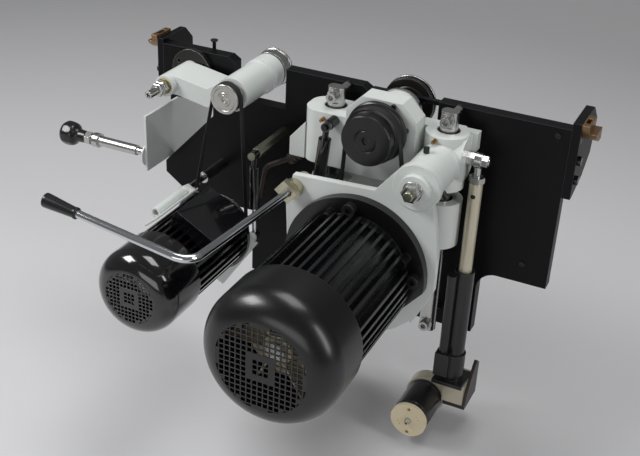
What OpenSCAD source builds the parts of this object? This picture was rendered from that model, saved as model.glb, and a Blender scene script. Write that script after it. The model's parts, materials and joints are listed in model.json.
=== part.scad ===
// Saw unit of a sliding table saw: the main saw and the scoring saw on one tilting frame plate.
// Millimetres, Z up. Sizes are laid out from the frame plate: X runs right from its left edge, Y back
// from its front face and Z up from its top edge. Every node is then moved so that the row origin is
// on the tilt axis, half way between the two end plates.

/* [Frame plate] */
// Width of the frame plate
plate_w = 772; // [750:2:790]
// Thickness of the frame plate
plate_t = 25; // [20:1:27]
// Height of the wings on both sides of the frame plate
wing_h = 300; // [280:5:320]
// Height of the deep middle of the frame plate
deep_h = 430; // [420:5:450]
// Left edge of the deep middle
deep_x0 = 195; // [170:5:210]
// Right edge of the deep middle
deep_x1 = 650; // [642:2:660]
// Radius of the inside corner beside the deep middle
deep_fillet = 34; // [10:2:50]
// Width of the notch that the saw arbor rises in
main_notch_w = 127; // [110:1:134]
// Depth of the notch that the saw arbor rises in
main_notch_h = 190; // [186:2:220]
// Width of the notch for the scoring spindle
scoring_notch_w = 105; // [92:1:112]
// Depth of the notch for the scoring spindle
scoring_notch_h = 76; // [70:2:84]
// Width of the chamfer at the mouth of a notch
notch_chamfer = 14; // [6:1:18]
// Top of the cut-out on the left, below the top edge
cutout_top = 100; // [92:2:108]
// Bottom of the cut-out on the left, below the top edge
cutout_bottom = 240; // [236:2:252]
// Width of the cut-out on the left
cutout_w = 107; // [90:1:110]

/* [End plates] */
// Thickness of the left end plate
left_end_t = 12; // [8:1:16]
// Thickness of the right end plate
right_end_t = 15; // [10:1:20]
// Depth of the right end plate behind the front face
end_depth = 127; // [115:1:140]
// Depth of the left end plate behind the front face
left_end_depth = 105; // [98:1:125]
// Rise of the left end plate over the frame plate
left_end_rise = 8; // [0:1:16]
// Rise of the right end plate over the frame plate
right_end_rise = 13; // [4:1:20]
// Drop of the right end plate's front edge
right_end_drop = 121; // [100:1:140]

/* [Tilt trunnions] */
// Tilt axis behind the front face
tilt_y = 40; // [36:1:46]
// Tilt axis over the top edge of the frame plate
tilt_z = 22; // [18:1:28]
// Radius of a trunnion segment's sliding face
trunnion_r = 44; // [40:1:52]
// Thickness of a segment's inner part
trunnion_t = 12; // [8:1:16]
// Thickness of a segment's outer rib
trunnion_rib = 12; // [8:1:16]

/* [Guide columns] */
// Diameter of a guide column
column_d = 30; // [26:1:32]
// Left column from the plate's left edge
column_x0 = 380; // [376:1:384]
// Distance between the two columns
column_gap = 203.4; // [200:0.2:208]
// Columns in front of the plate's front face
column_off = 52; // [50:1:56]
// Rise of the columns over the top edge
column_rise = 11.5; // [8:0.5:16]
// Length of a column
column_len = 421.5; // [410:0.5:440]
// Height of the bottom cross screw over a column's end
foot_screw_up = 15; // [12:1:30]

/* [Carriage] */
// Top face of the guide housings below the top edge
carriage_top = 22; // [20:1:26]
// Height of the upper guide housings
housing_h = 96; // [90:1:104]
// Front face of the upper guide housings, in front of the plate
housing_front = 94; // [90:1:97]
// Back face of the guide housings, in front of the plate
housing_back = 22; // [20:1:26]
// Radius of the right guide housing
housing_r = 36.5; // [34:0.5:38]
// Top of the lower guides below the top edge
lower_guide_top = 145; // [130:1:150]
// Bottom of the lower guides below the top edge
lower_guide_bottom = 250; // [235:1:270]
// Bottom of the right lower guide below the top edge
right_guide_bottom = 228; // [215:1:240]
// Radius of a lower guide
lower_guide_r = 36; // [32:0.5:36.5]
// Wall of a guide bush
bush_wall = 4.5; // [3:0.5:6]
// Gap between a shaft and the bore that it turns or slides in
running_gap = 0.05; // [0.03:0.01:0.08]
// Travel of the carriage down the columns
lift_travel = 110; // [60:5:110]

/* [Saw arbor] */
// Arbor axis from the plate's left edge
arbor_x = 481.7; // [478:0.1:486]
// Arbor axis below the top edge
arbor_drop = 25; // [24:1:30]
// Diameter of the arbor in its bearings
arbor_d = 30; // [25:1:32]
// Outer diameter of an arbor bearing
bearing_d = 62; // [55:1:66]
// Width of an arbor bearing
bearing_w = 16; // [12:1:18]
// Front face of the octagonal arbor block, in front of the plate
block_front = 100; // [98:1:104]
// Half width of the octagonal arbor block
block_half_w = 62; // [58:1:64]
// Height of the arbor block over the arbor axis
block_up = 49.5; // [44:0.5:54]
// Chamfer of the octagonal arbor block
block_chamfer = 27; // [18:1:32]
// Radius of the steel nose ring
nose_r = 39.8; // [36:0.1:42]
// Radius of the inner blade flange
flange_r = 46; // [40:0.5:48]
// Rim radius of the outer blade flange
flange_rim_r = 47.2; // [44:0.1:50]
// Front of the inner blade flange behind the front face
flange_front = 21; // [20.5:0.5:26]
// Thickness of the inner blade flange
flange_t = 10; // [8:1:12]
// Gap for the saw blade
blade_gap = 4.4; // [4.2:0.1:6]
// Thickness of the outer blade flange
outer_flange_t = 9; // [7:1:12]
// Diameter of the arbor where the blade sits
blade_bore_d = 25.4; // [20:0.1:28]

/* [Main drive] */
// Radius of the arbor pulley under the belt
arbor_pulley_r = 45; // [42:0.5:47]
// Radius of the motor pulley under the belt
motor_pulley_r = 65; // [58:0.5:68]
// Width of the drive belt
belt_w = 14; // [10:1:16]
// Thickness of the drive belt
belt_t = 2.5; // [1.5:0.1:3.5]
// Middle of the belt in front of the plate
belt_off = 130; // [128:1:132]
// Motor axis from the plate's left edge
motor_x = 492.5; // [490:0.5:498]
// Motor axis below the top edge
motor_drop = 230.5; // [228:0.5:240]
// Radius of the motor's mounting flange
motor_flange_r = 125; // [120:1:130]
// Thickness of the motor's mounting flange
motor_flange_t = 16; // [12:1:20]
// Pitch circle of the motor's mounting bolts
motor_pcd = 215; // [205:1:220]
// Diameter of a motor mounting bolt
motor_bolt_d = 13.6; // [10:0.2:14]
// Radius over the cooling fins
fin_r = 106; // [98:1:108]
// Height of a cooling fin
fin_h = 15; // [10:1:17]
// Number of cooling fins
fin_count = 44; // [32:1:52]
// Length of the motor's ribbed housing
motor_len = 199; // [190:1:230]
// Radius of the fan cowl
cowl_r = 112; // [110.5:0.5:116]
// Length of the fan cowl
cowl_len = 106; // [90:1:120]
// Rounding of the fan cowl's front edge
cowl_round = 46; // [24:1:56]
// Sheet thickness of the fan cowls
cowl_t = 2; // [1.5:0.1:3]
// Pitch of the square holes in a fan cowl
grid_pitch = 13; // [11:0.5:16]
// Side of a square hole in a fan cowl
grid_hole = 10; // [7:0.5:10.5]

/* [Motor plate] */
// Front face of the motor plate, in front of the frame plate
motor_plate_front = 190; // [188:1:196]
// Thickness of the motor plate
motor_plate_t = 12; // [8:1:14]
// Radius of the motor plate round the motor axis
motor_plate_r = 130; // [127:1:134]
// Swivel axis from the plate's left edge
swivel_x = 583.6; // [582:0.1:586]
// Swivel axis below the top edge
swivel_drop = 68.5; // [66:0.5:72]
// Radius of the plate's round ear about the swivel axis
swivel_ear_r = 40; // [36:1:42]
// Radius of the carriage's boss that carries the swivel stud
swivel_boss_r = 36; // [30:1:37]
// Diameter of the swivel stud in the plate
swivel_stud_d = 24; // [18:1:28]

/* [Belt lever] */
// Lever shaft from the plate's left edge
lever_x = 374; // [372:0.5:376]
// Lever shaft below the top edge
lever_drop = 120.5; // [118:0.5:124]
// Diameter of the lever shaft
lever_d = 25; // [20:1:26]
// Diameter of the bent lever rod
lever_rod_d = 13; // [10:0.5:14]
// Reach of the lever rod to its bend
lever_reach = 272; // [240:2:290]
// Length of the lever rod past its bend
lever_side = 195; // [150:5:200]
// Length of the lever's grip
lever_grip_len = 60; // [50:2:110]

/* [Lift actuator] */
// Actuator axis from the plate's left edge
lift_x = 641; // [640:0.5:644]
// Actuator axis in front of the plate
lift_off = 54; // [52:1:58]
// Eye bolt below the top edge
lift_eye_drop = 63; // [56:1:68]
// Diameter of the push rod
lift_rod_d = 23; // [18:0.5:24]
// Top of the outer tube below the top edge
lift_tube_top = 272; // [265:1:280]
// Length of the outer tube
lift_tube_len = 171; // [165:1:180]
// Diameter of the outer tube
lift_tube_d = 34; // [30:0.5:34]
// Lift motor's axis below the top edge
lift_motor_drop = 556; // [553:1:560]
// Radius of the lift motor
lift_motor_r = 33.8; // [28:0.2:34]

/* [Scoring saw] */
// Scoring arm's pivot from the plate's left edge
pivot_x = 66; // [62:1:70]
// Scoring arm's pivot below the top edge
pivot_drop = 38; // [36:1:42]
// Scoring spindle from the plate's left edge
spindle_x = 205; // [202:1:208]
// Scoring spindle below the top edge
spindle_drop = 24; // [22:1:28]
// Radius of the spindle housing
spindle_housing_r = 30.5; // [26:0.5:32]
// Diameter of the scoring spindle
spindle_d = 20; // [16:1:24]
// Radius of the scoring pulley under the belt
spindle_pulley_r = 26; // [22:0.5:28]
// Radius of the scoring flange's barrel
scoring_flange_r = 33.6; // [30:0.2:35]
// Middle of the scoring belt in front of the plate
scoring_belt_off = 118; // [116:1:118]
// Width of the scoring belt
scoring_belt_w = 12; // [8:1:13]
// Thickness of the scoring belt
scoring_belt_t = 1.6; // [1:0.1:2.4]

/* [Scoring motor] */
// Scoring motor's axis from the plate's left edge
score_motor_x = 188; // [186:0.5:190]
// Scoring motor's axis below the top edge
score_motor_drop = 277; // [274:1:280]
// Radius of the scoring motor's fan cowl
score_cowl_r = 75.5; // [74:0.5:80]
// Radius over the scoring motor's fins
score_fin_r = 71.5; // [68:0.5:71.5]
// Radius of the scoring motor's pulley under the belt
score_pulley_r = 57; // [50:0.5:60]
// Front face of the scoring motor's mount plate, in front of the frame plate
mount_front = 138; // [136:1:140]
// Thickness of that mount plate
mount_t = 8; // [5:1:9]
// Length of the scoring motor behind its cowl
score_motor_len = 162; // [150:2:172]
// Length of the scoring motor's cowl
score_cowl_len = 98; // [88:1:104]
// Rounding of the scoring motor's cowl
score_cowl_round = 33; // [20:1:40]
// Hinge axis from the plate's left edge
hinge_x = 126; // [124:0.5:126]
// Hinge axis below the top edge
hinge_drop = 217; // [212:1:217]
// Outer radius of the hinge tube
hinge_tube_r = 9.5; // [8:0.5:9.5]
// Radius of the hinge pin
hinge_pin_r = 6; // [4:0.5:7]

/* [Gas springs] */
// Scoring gas spring's top eye from the plate's left edge
gas_x = 260; // [258:0.5:264]
// Scoring gas spring's top eye below the top edge
gas_drop = 118; // [112:1:122]
// Scoring gas spring in front of the plate
gas_off = 120; // [118:1:121]
// Radius of a gas spring's cylinder
gas_r = 9; // [7:0.5:9.5]
// Radius of a gas spring's rod
gas_rod_r = 4; // [3:0.5:5]
// Belt-tension gas spring from the plate's left edge
belt_spring_x = 397; // [393:0.5:399]
// Belt-tension gas spring in front of the plate
belt_spring_off = 125; // [120:1:130]
// Radius of the belt-tension gas spring's cylinder
belt_spring_r = 11; // [8:0.5:12]

/* [Adjusting knob] */
// Knob axis in front of the plate
knob_off = 57; // [54:1:60]
// Knob axis below the top edge
knob_drop = 203; // [198:1:208]
// Radius of the knob
knob_r = 24; // [18:1:28]
// Reach of the knob past the plate's left edge
knob_reach = 199; // [190:1:230]
// Thickness of the adjuster's bracket
bracket_t = 5; // [3:1:8]

/* [Hidden] */
$fn = 72;

// Clearance between faces of pieces that move past each other
face_gap = 0.3;
// Small lengths that cut cleanly through a face
eps = 1;
// Swelling of a bent bar in its elbow
bend_swell = 0.15;

// Axes and heights in the layout frame
column_x1 = column_x0 + column_gap;
column_y = -column_off;
column_top_z = column_rise;
column_bottom_z = column_top_z - column_len;
top_screw_z = -2;
foot_screw_z = column_bottom_z + foot_screw_up;
arbor_z = -arbor_drop;
motor_z = -motor_drop;
swivel_z = -swivel_drop;
lever_z = -lever_drop;
pivot_z = -pivot_drop;
spindle_z = -spindle_drop;
score_z = -score_motor_drop;
hinge_z = -hinge_drop;
knob_y = -knob_off;
knob_z = -knob_drop;
lift_y = -lift_off;
housing_bottom_z = -carriage_top - housing_h;
motor_face_y = -motor_plate_front;
motor_back_y = motor_face_y + motor_plate_t;
row_origin = [(plate_w + right_end_t - left_end_t) / 2, tilt_y, tilt_z];

// Moves a node from the layout frame to the row frame
module laid_out() {
    translate(-row_origin) children();
}

// Cylinder along Y from y0 (front) to y1 (back) about the axis (x, z)
module bar_y(x, z, r, y0, y1) {
    translate([x, y1, z]) rotate([90, 0, 0]) cylinder(r = r, h = y1 - y0);
}

// Cylinder along X from x0 to x1 about the axis (y, z)
module bar_x(y, z, r, x0, x1) {
    translate([x0, y, z]) rotate([0, 90, 0]) cylinder(r = r, h = x1 - x0);
}

// Hexagonal bar along Y with the given width across flats
module hex_y(x, z, across, y0, y1) {
    translate([x, y1, z]) rotate([90, 0, 0]) cylinder(d = across / cos(30), h = y1 - y0, $fn = 6);
}

// Hexagonal bar along X with the given width across flats
module hex_x(y, z, across, x0, x1) {
    translate([x0, y, z]) rotate([0, 90, 0]) cylinder(d = across / cos(30), h = x1 - x0, $fn = 6);
}

// Plate cut from a drawing in X and Z, from y0 (front) to y1 (back)
module plate_y(y0, y1) {
    translate([0, y1, 0]) rotate([90, 0, 0]) linear_extrude(y1 - y0) children();
}

// Plate cut from a drawing in Y and Z, from x0 to x1
module plate_x(x0, x1) {
    translate([x0, 0, 0]) rotate([90, 0, 90]) linear_extrude(x1 - x0) children();
}

// Body turned about a Y axis from a drawing of radius against Y
module turned_y(x, z) {
    translate([x, 0, z]) rotate([90, 0, 0]) mirror([0, 0, 1]) rotate_extrude() children();
}

// Box between two opposite corners
module box(low, high) {
    translate(low) cube(high - low);
}

// Straight round bar between two points
module bar_between(p, q, r) {
    d = q - p;
    len = norm(d);
    translate(p) rotate([0, acos(d[2] / len), atan2(d[1], d[0])]) cylinder(r = r, h = len);
}

// Round bar in the drawing plane that runs p0 to p1 to p2, with an elbow at p1
module bent_bar(p0, p1, p2, bend_r, r) {
    d1 = (p1 - p0) / norm(p1 - p0);
    d2 = (p2 - p1) / norm(p2 - p1);
    a1 = atan2(d1[1], d1[0]);
    a2 = atan2(d2[1], d2[0]);
    turn = a2 - a1 > 180 ? a2 - a1 - 360 : a2 - a1 < -180 ? a2 - a1 + 360 : a2 - a1;
    side = sign(turn);
    reach = bend_r * tan(abs(turn) / 2);
    centre = p1 - d1 * reach + side * bend_r * [-d1[1], d1[0]];
    first = side > 0 ? a1 - 90 : a1 + turn + 90;
    lap = eps;
    translate(p0) rotate([0, 90, a1]) cylinder(r = r, h = norm(p1 - p0) - reach + lap);
    translate(p1 + d2 * (reach - lap)) rotate([0, 90, a2]) cylinder(r = r, h = norm(p2 - p1) - reach + lap);
    translate(centre) rotate(first) rotate_extrude(angle = abs(turn))
        translate([bend_r, 0]) circle(r = r + bend_swell);
}

// Points on a circle arc in a drawing, from angle a0 to a1
function arc(cx, cy, r, a0, a1, steps) =
    [for (i = [0 : steps]) let (a = a0 + (a1 - a0) * i / steps) [cx + r * cos(a), cy + r * sin(a)]];

// Outline of a belt round an upper pulley (c1, r1) and a lower pulley (c2, r2)
function belt_outline(c1, r1, c2, r2) =
    let (d = c2 - c1, dist = norm(d), dir = atan2(d[1], d[0]), wrap = acos((r1 - r2) / dist))
    concat(arc(c1[0], c1[1], r1, dir + wrap, dir + 360 - wrap, 24),
           arc(c2[0], c2[1], r2, dir - wrap, dir + wrap, 24));

// Flat belt of thickness t round two pulleys
module belt(c1, r1, c2, r2, t, y0, y1) {
    plate_y(y0, y1) difference() {
        polygon(belt_outline(c1, r1 + t, c2, r2 + t));
        polygon(belt_outline(c1, r1, c2, r2));
    }
}

// Outline of a finned motor housing
module finned(r, h, count, duty) {
    step = 360 / count;
    polygon([for (i = [0 : count - 1])
        for (k = [[-duty, r], [duty, r], [duty * 1.25, r - h], [1 - duty * 1.25, r - h]])
            k[1] * [cos(step * (i + k[0])), sin(step * (i + k[0]))]]);
}

// Socket screw along Y whose head stands in front of y, with its shank behind
module socket_screw(x, z, shank_r, head_r, head_h, y, depth) {
    difference() {
        union() {
            bar_y(x, z, head_r, y - head_h, y);
            bar_y(x, z, shank_r, y - eps, y + depth);
        }
        hex_y(x, z, head_r, y - head_h - eps, y - head_h * 0.4);
    }
}

// Frame

wing_corner = [[0, -wing_h + 36], [52, -wing_h]];
cutout_knee = 23;
strip_h = 8;
strip_y0 = 3;
strip_t = 8;
strip_gap = 5;
hole_play = 0.1;
small_screw_r = 3;
small_screws = [[plate_w - 21, -14], [plate_w - 47, -wing_h + 37]];
end_screw_z = [-20, -55, -90];
end_screw_r = 5;
end_screw_depth = 24;

module frame_outline() {
    polygon(concat(
        [[0, 0], [plate_w, 0], [plate_w, -wing_h]],
        arc(deep_x1 + deep_fillet, -wing_h - deep_fillet, deep_fillet, 90, 180, 10),
        [[deep_x1, -deep_h], [deep_x0, -deep_h], [deep_x0, -wing_h]],
        [wing_corner[1], wing_corner[0]],
        [[0, -cutout_bottom], [cutout_w, -cutout_top - cutout_knee], [cutout_w, -cutout_top], [0, -cutout_top]]
    ));
}

module notch(x, w, h) {
    drop = notch_chamfer * 0.6;
    translate([x - w / 2, -h]) square([w, h + eps]);
    polygon([[x - w / 2 - notch_chamfer, 0], [x - w / 2 - notch_chamfer, eps], [x, eps],
             [x, -drop], [x - w / 2, -drop]]);
}

module frame_plate() {
    color("#191a1d") laid_out() {
        difference() {
            plate_y(0, plate_t) difference() {
                frame_outline();
                notch(arbor_x, main_notch_w, main_notch_h);
                notch(spindle_x, scoring_notch_w, scoring_notch_h);
            }
            for (s = small_screws) bar_y(s[0], s[1], small_screw_r + hole_play, -eps, plate_t * 0.6);
            for (z = end_screw_z) if (-z < cutout_top - end_screw_r)
                bar_x(plate_t / 2, z, end_screw_r + hole_play, -eps, end_screw_depth);
            for (z = end_screw_z)
                bar_x(plate_t / 2, z, end_screw_r + hole_play, plate_w - end_screw_depth, plate_w + eps);
        }
    }
}

// Strip that stands in the mouth of the main notch
module notch_strip() {
    color("#202124") laid_out()
        box([arbor_x - main_notch_w / 2 + strip_gap, strip_y0, -strip_h],
            [arbor_x + main_notch_w / 2, strip_y0 + strip_t, 0]);
}

left_end_shoulder = 25;
left_end_low = 200;
left_end_neck = 90;
left_end_back = 40;

module left_end_plate() {
    color("#191a1d") laid_out() difference() {
        plate_x(-left_end_t, 0) polygon([
            [0, left_end_rise], [left_end_depth - left_end_shoulder, left_end_rise],
            [left_end_depth, left_end_rise - left_end_shoulder], [left_end_depth, -left_end_low],
            [left_end_back, -left_end_low], [left_end_back, -left_end_neck], [0, -left_end_neck]
        ]);
        for (z = end_screw_z) if (-z < left_end_neck - end_screw_r)
            bar_x(plate_t / 2, z, end_screw_r + hole_play, -left_end_t - eps, eps);
    }
}

right_end_run = 88;
right_end_mid = 80;

module right_end_plate() {
    color("#1a1b1e") laid_out() difference() {
        plate_x(plate_w, plate_w + right_end_t) polygon([
            [-1.5, right_end_rise], [right_end_run, right_end_rise],
            [end_depth, -right_end_mid / 4], [end_depth - 12, -right_end_mid],
            [right_end_run - 16, -right_end_drop + 15], [10, -right_end_drop], [-1.5, -right_end_drop]
        ]);
        for (z = end_screw_z)
            bar_x(plate_t / 2, z, end_screw_r + hole_play, plate_w - eps, plate_w + right_end_t + eps);
    }
}

segment_top = 9;
segment_back = 6;
rib_top = 24;
pocket_x = [2, 9];
pocket_y = [-30, -8];
pocket_depth = 9;
rib_hole_r = 2.6;

// One trunnion segment, standing along +X from an end plate's outer face
module segment() {
    difference() {
        union() {
            plate_x(0, trunnion_t) intersection() {
                circle(r = trunnion_r);
                translate([-trunnion_r, -trunnion_r])
                    square([trunnion_r + segment_back, trunnion_r - segment_top]);
            }
            plate_x(trunnion_t - eps, trunnion_t + trunnion_rib) intersection() {
                circle(r = trunnion_r);
                translate([-trunnion_r, -trunnion_r])
                    square([trunnion_r + segment_back, trunnion_r - rib_top]);
            }
        }
        box([pocket_x[0], pocket_y[0], -segment_top - pocket_depth], [pocket_x[1], pocket_y[1], eps]);
        for (p = [[-16, -30], [-4, -36]])
            bar_x(p[0], p[1], rib_hole_r, trunnion_t + trunnion_rib / 2, trunnion_t + trunnion_rib + eps);
    }
}

module trunnion_segments() {
    color("#8d6f4e") laid_out() {
        translate([plate_w + right_end_t, tilt_y, tilt_z]) segment();
        translate([-left_end_t, tilt_y, tilt_z]) mirror([1, 0, 0]) segment();
    }
}

cross_screw_r = 5;
cross_head = [9, 12];
cross_washer = [12, 2.5];
column_flat = 11;
spacer_r = 7;

// Cross screw, washer and spacer that tie a column's end to the frame plate
module cross_fixing(x, z) {
    seat = column_y - column_flat;
    difference() {
        bar_y(x, z, cross_washer[0], seat - cross_washer[1], seat);
        bar_y(x, z, cross_screw_r + hole_play, seat - cross_washer[1] - eps, seat + eps);
    }
    socket_screw(x, z, cross_screw_r, cross_head[0], cross_head[1], seat - cross_washer[1],
                 column_flat * 2 + cross_washer[1] + 20);
    difference() {
        bar_y(x, z, spacer_r, column_y + column_flat, 0);
        bar_y(x, z, cross_screw_r + hole_play, column_y, column_y + column_flat + 20 + eps);
    }
}

wing_screw_x = 92;
wing_screw_off = 6;
strap_x = [608, 638];
strap_t = 8;
strap_screw_z = [-402, -420];

module frame_fixings() {
    color("#b9bcc0") laid_out() {
        for (x = [column_x0, column_x1]) for (z = [top_screw_z, foot_screw_z]) cross_fixing(x, z);
        for (s = small_screws) socket_screw(s[0], s[1], small_screw_r, 5, 2, 0, plate_t * 0.6 - eps);
        for (z = end_screw_z) if (-z < left_end_neck - end_screw_r)
            bar_x(plate_t / 2, z, end_screw_r, -left_end_t, end_screw_depth - eps);
        for (z = end_screw_z) if (z < tilt_z - trunnion_r - 2 * end_screw_r) {
            if (-z < left_end_neck - end_screw_r)
                bar_x(plate_t / 2, z, end_screw_r * 1.6, -left_end_t - 6, -left_end_t);
            bar_x(plate_t / 2, z, end_screw_r * 1.6, plate_w + right_end_t, plate_w + right_end_t + 6);
        }
        for (z = end_screw_z)
            bar_x(plate_t / 2, z, end_screw_r, plate_w - end_screw_depth + eps, plate_w + right_end_t);
        wing_y = plate_t + wing_screw_off;
        box([wing_screw_x - 9, plate_t, -22], [wing_screw_x + 9, plate_t + 2 * wing_screw_off, -8]);
        translate([wing_screw_x, wing_y, -9]) cylinder(r = 3.5, h = 19);
        translate([wing_screw_x, wing_y, 10]) cylinder(r1 = 4, r2 = 7, h = 3);
        translate([wing_screw_x, wing_y, 13]) cylinder(r = 7, h = 2);
        for (z = strap_screw_z)
            hex_y((strap_x[0] + strap_x[1]) / 2, z, 13, -strap_t - 6, -strap_t);
    }
}

module guide_columns() {
    color("#d4d8dc") laid_out() for (x = [column_x0, column_x1]) difference() {
        translate([x, column_y, column_bottom_z]) cylinder(d = column_d, h = column_len);
        for (side = [-1, 1]) {
            flat_y = side > 0 ? column_y + column_flat : column_y - column_d;
            flat_end = side > 0 ? column_y + column_d : column_y - column_flat;
            box([x - column_d, flat_y, top_screw_z - cross_washer[0] - 1],
                [x + column_d, flat_end, column_top_z + eps]);
            box([x - column_d, flat_y, column_bottom_z - eps],
                [x + column_d, flat_end, foot_screw_z + cross_washer[0] + 1]);
        }
        for (z = [top_screw_z, foot_screw_z])
            bar_y(x, z, cross_screw_r + hole_play, column_y - column_d, column_y + column_d);
    }
}

// Scoring side of the frame

disc_r = 40;
disc_t = 9;
pin_r = 12;
pin_front = 100;
pin_stub_r = 7;
pin_stub = 52;

module scoring_disc() {
    color("#3a3936") laid_out() difference() {
        bar_y(pivot_x, pivot_z, disc_r, -disc_t, 0);
        bar_y(pivot_x, pivot_z, pin_r, -disc_t - eps, eps);
        for (a = [30, 150, 270])
            bar_y(pivot_x + 30 * cos(a), pivot_z + 30 * sin(a), 4, -disc_t - eps, -disc_t + 5);
    }
}

module scoring_pivot() {
    front = -pin_front;
    color("#c9cbc8") laid_out() {
        bar_y(pivot_x, pivot_z, pin_r, front, 0);
        difference() {
            bar_y(pivot_x, pivot_z, pin_stub_r, front - pin_stub, front + eps);
            bar_y(pivot_x, pivot_z, pin_stub_r * 0.55, front - pin_stub - eps, front - pin_stub + 8);
        }
        for (n = [[4, 11], [16, 9]]) difference() {
            hex_y(pivot_x, pivot_z, 24, front - n[0] - n[1], front - n[0]);
            bar_y(pivot_x, pivot_z, pin_stub_r, front - n[0] - n[1] - eps, front - n[0] + eps);
        }
        difference() {
            bar_y(pivot_x, pivot_z, 14.5, front - 3.5, front - face_gap);
            bar_y(pivot_x, pivot_z, pin_stub_r, front - 4 - eps, front + eps);
        }
    }
}

bracket_y = [-72, 160];
bracket_z = [-233, -121];
knob_shaft_r = 7;
knob_disc = [24, 3];

module scoring_bracket() {
    color("#dfe4e2") laid_out() {
        difference() {
            plate_x(0, bracket_t) polygon([
                [bracket_y[0], bracket_z[0]], [bracket_y[1], bracket_z[0]],
                [bracket_y[1], bracket_z[1]], [bracket_y[0], bracket_z[1]]
            ]);
            bar_x(knob_y, knob_z, knob_shaft_r + running_gap, -eps, bracket_t - 1);
        }
        difference() {
            bar_x(knob_y, knob_z, knob_disc[0], -knob_disc[1], 0);
            bar_x(knob_y, knob_z, knob_shaft_r + running_gap, -knob_disc[1] - eps, eps);
        }
    }
}

standoff_across = 17;
eye_half = 7;

module gas_standoff() {
    tip = -gas_off + eye_half + face_gap;
    color("#8f9582") laid_out() {
        hex_y(gas_x, -gas_drop, standoff_across, tip, 0);
        bar_y(gas_x, -gas_drop, stud_r, -gas_off - eye_half - 4, tip + eps);
        bar_y(gas_x, -gas_drop, 7, -gas_off - eye_half - 4, -gas_off - eye_half - face_gap);
    }
}

hinge_tube_y = [-230, -130];

module hinge_pin() {
    color("#9aa0a3") laid_out() {
        bar_y(hinge_x, hinge_z, hinge_pin_r, hinge_tube_y[0] + 6, 0);
        bar_y(hinge_x, hinge_z, hinge_pin_r + 5, -70, 0);
    }
}

// Lift actuator

lift_tube_bottom = lift_tube_top + lift_tube_len;
collar_h = 55;
collar_r = 20;
gearbox_h = 45;
gearbox_top = lift_tube_bottom + collar_h + 5;
gearbox_bottom = gearbox_top + gearbox_h;
base_t = 8;
side_tube_r = 8.5;
side_tube_off = lift_tube_d / 2 + side_tube_r - 1;
side_tube_angle = 50;
side_tube_x = lift_x - side_tube_off * cos(side_tube_angle);
side_tube_y = lift_y - side_tube_off * sin(side_tube_angle);
lift_motor_x = lift_x - 46;
lift_motor_z = -lift_motor_drop;
lobe_r = 37;
lobe_y = [-56, -30];
gearbox_right = lift_x + 28;
gearbox_back = -14;
lift_bore_gap = 0.4;
screw_r = 6;
screw_top = 225;

module lift_foot() {
    color("#3b3430") laid_out() {
        box([strap_x[0], -strap_t, -gearbox_bottom - base_t], [strap_x[1], 0, -395]);
        box([lift_motor_x + lobe_r + eps, lift_y - 12, -gearbox_bottom - base_t],
            [gearbox_right + 6, 0, -gearbox_bottom]);
        plate_x(gearbox_right, gearbox_right + 6) polygon([
            [lift_y - 12, -gearbox_bottom - base_t], [0, -gearbox_bottom - base_t],
            [0, -gearbox_top + 14], [-14, -gearbox_top + 26], [-34, -gearbox_top + 8],
            [lift_y - 4, -gearbox_bottom + 22]
        ]);
    }
}

module lift_tubes() {
    color("#1c1b1b") laid_out() difference() {
        union() {
            translate([lift_x, lift_y, -lift_tube_bottom]) cylinder(d = lift_tube_d, h = lift_tube_len);
            translate([side_tube_x, side_tube_y, -lift_tube_bottom])
                cylinder(r = side_tube_r, h = lift_tube_len - 5);
        }
        translate([lift_x, lift_y, -lift_tube_bottom - eps])
            cylinder(r = lift_rod_d / 2 + lift_bore_gap, h = lift_tube_len + 2 * eps);
    }
}

module lift_collar() {
    color("#232324") laid_out() difference() {
        union() {
            translate([lift_x, lift_y, -gearbox_top]) cylinder(r = collar_r, h = gearbox_top - lift_tube_bottom);
            box([side_tube_x - 12, side_tube_y - 12, -gearbox_top + 20],
                [side_tube_x + 14, lift_y, -lift_tube_bottom + 6]);
            box([lift_x - 29, lift_y - 29, -gearbox_top], [lift_x + 28, lift_y + 26, -gearbox_top + 7]);
        }
        translate([lift_x, lift_y, -gearbox_top - eps]) cylinder(r = screw_r + 4, h = collar_h + 20);
        translate([side_tube_x, side_tube_y, -lift_tube_bottom]) cylinder(r = side_tube_r, h = collar_h);
        translate([lift_x, lift_y, -lift_tube_bottom]) cylinder(d = lift_tube_d, h = collar_h);
    }
}

module lift_gearbox() {
    color("#cfc9b4") laid_out() difference() {
        union() {
            box([lift_motor_x + lift_motor_r + eps, lift_y - 12, -gearbox_bottom],
                [gearbox_right, gearbox_back, -gearbox_top]);
            box([lift_motor_x, lobe_y[0], -gearbox_bottom], [lift_x, lobe_y[1], lift_motor_z + lobe_r]);
            bar_y(lift_motor_x, lift_motor_z, lobe_r, lobe_y[0], lobe_y[1]);
        }
        translate([lift_x, lift_y, -gearbox_top - 40]) cylinder(r = screw_r + running_gap, h = 40 + eps);
    }
}

lift_motor_y = [-136, lobe_y[0]];
cap_t = 7;

module lift_motor() {
    color("#15161a") laid_out()
        bar_y(lift_motor_x, lift_motor_z, lift_motor_r, lift_motor_y[0], lift_motor_y[1]);
}

module lift_motor_cap() {
    front = lift_motor_y[0] - cap_t;
    color("#d9c9a8") laid_out() {
        difference() {
            bar_y(lift_motor_x, lift_motor_z, lift_motor_r, front, lift_motor_y[0]);
            for (a = [90, 270])
                bar_y(lift_motor_x + 25 * cos(a), lift_motor_z + 25 * sin(a), 3.2, front - eps, front + 4);
            for (a = [20, 40, 200, 220])
                bar_y(lift_motor_x + 20 * cos(a), lift_motor_z + 20 * sin(a), 1, front - eps, front + 2);
        }
        for (a = [90, 270])
            bar_y(lift_motor_x + 25 * cos(a), lift_motor_z + 25 * sin(a), 3, front - 1, front + 4);
        bar_y(lift_motor_x, lift_motor_z, 6, front - 4, front);
        bar_y(lift_motor_x, lift_motor_z, 3, front - 10, front - 4);
    }
}

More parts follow.
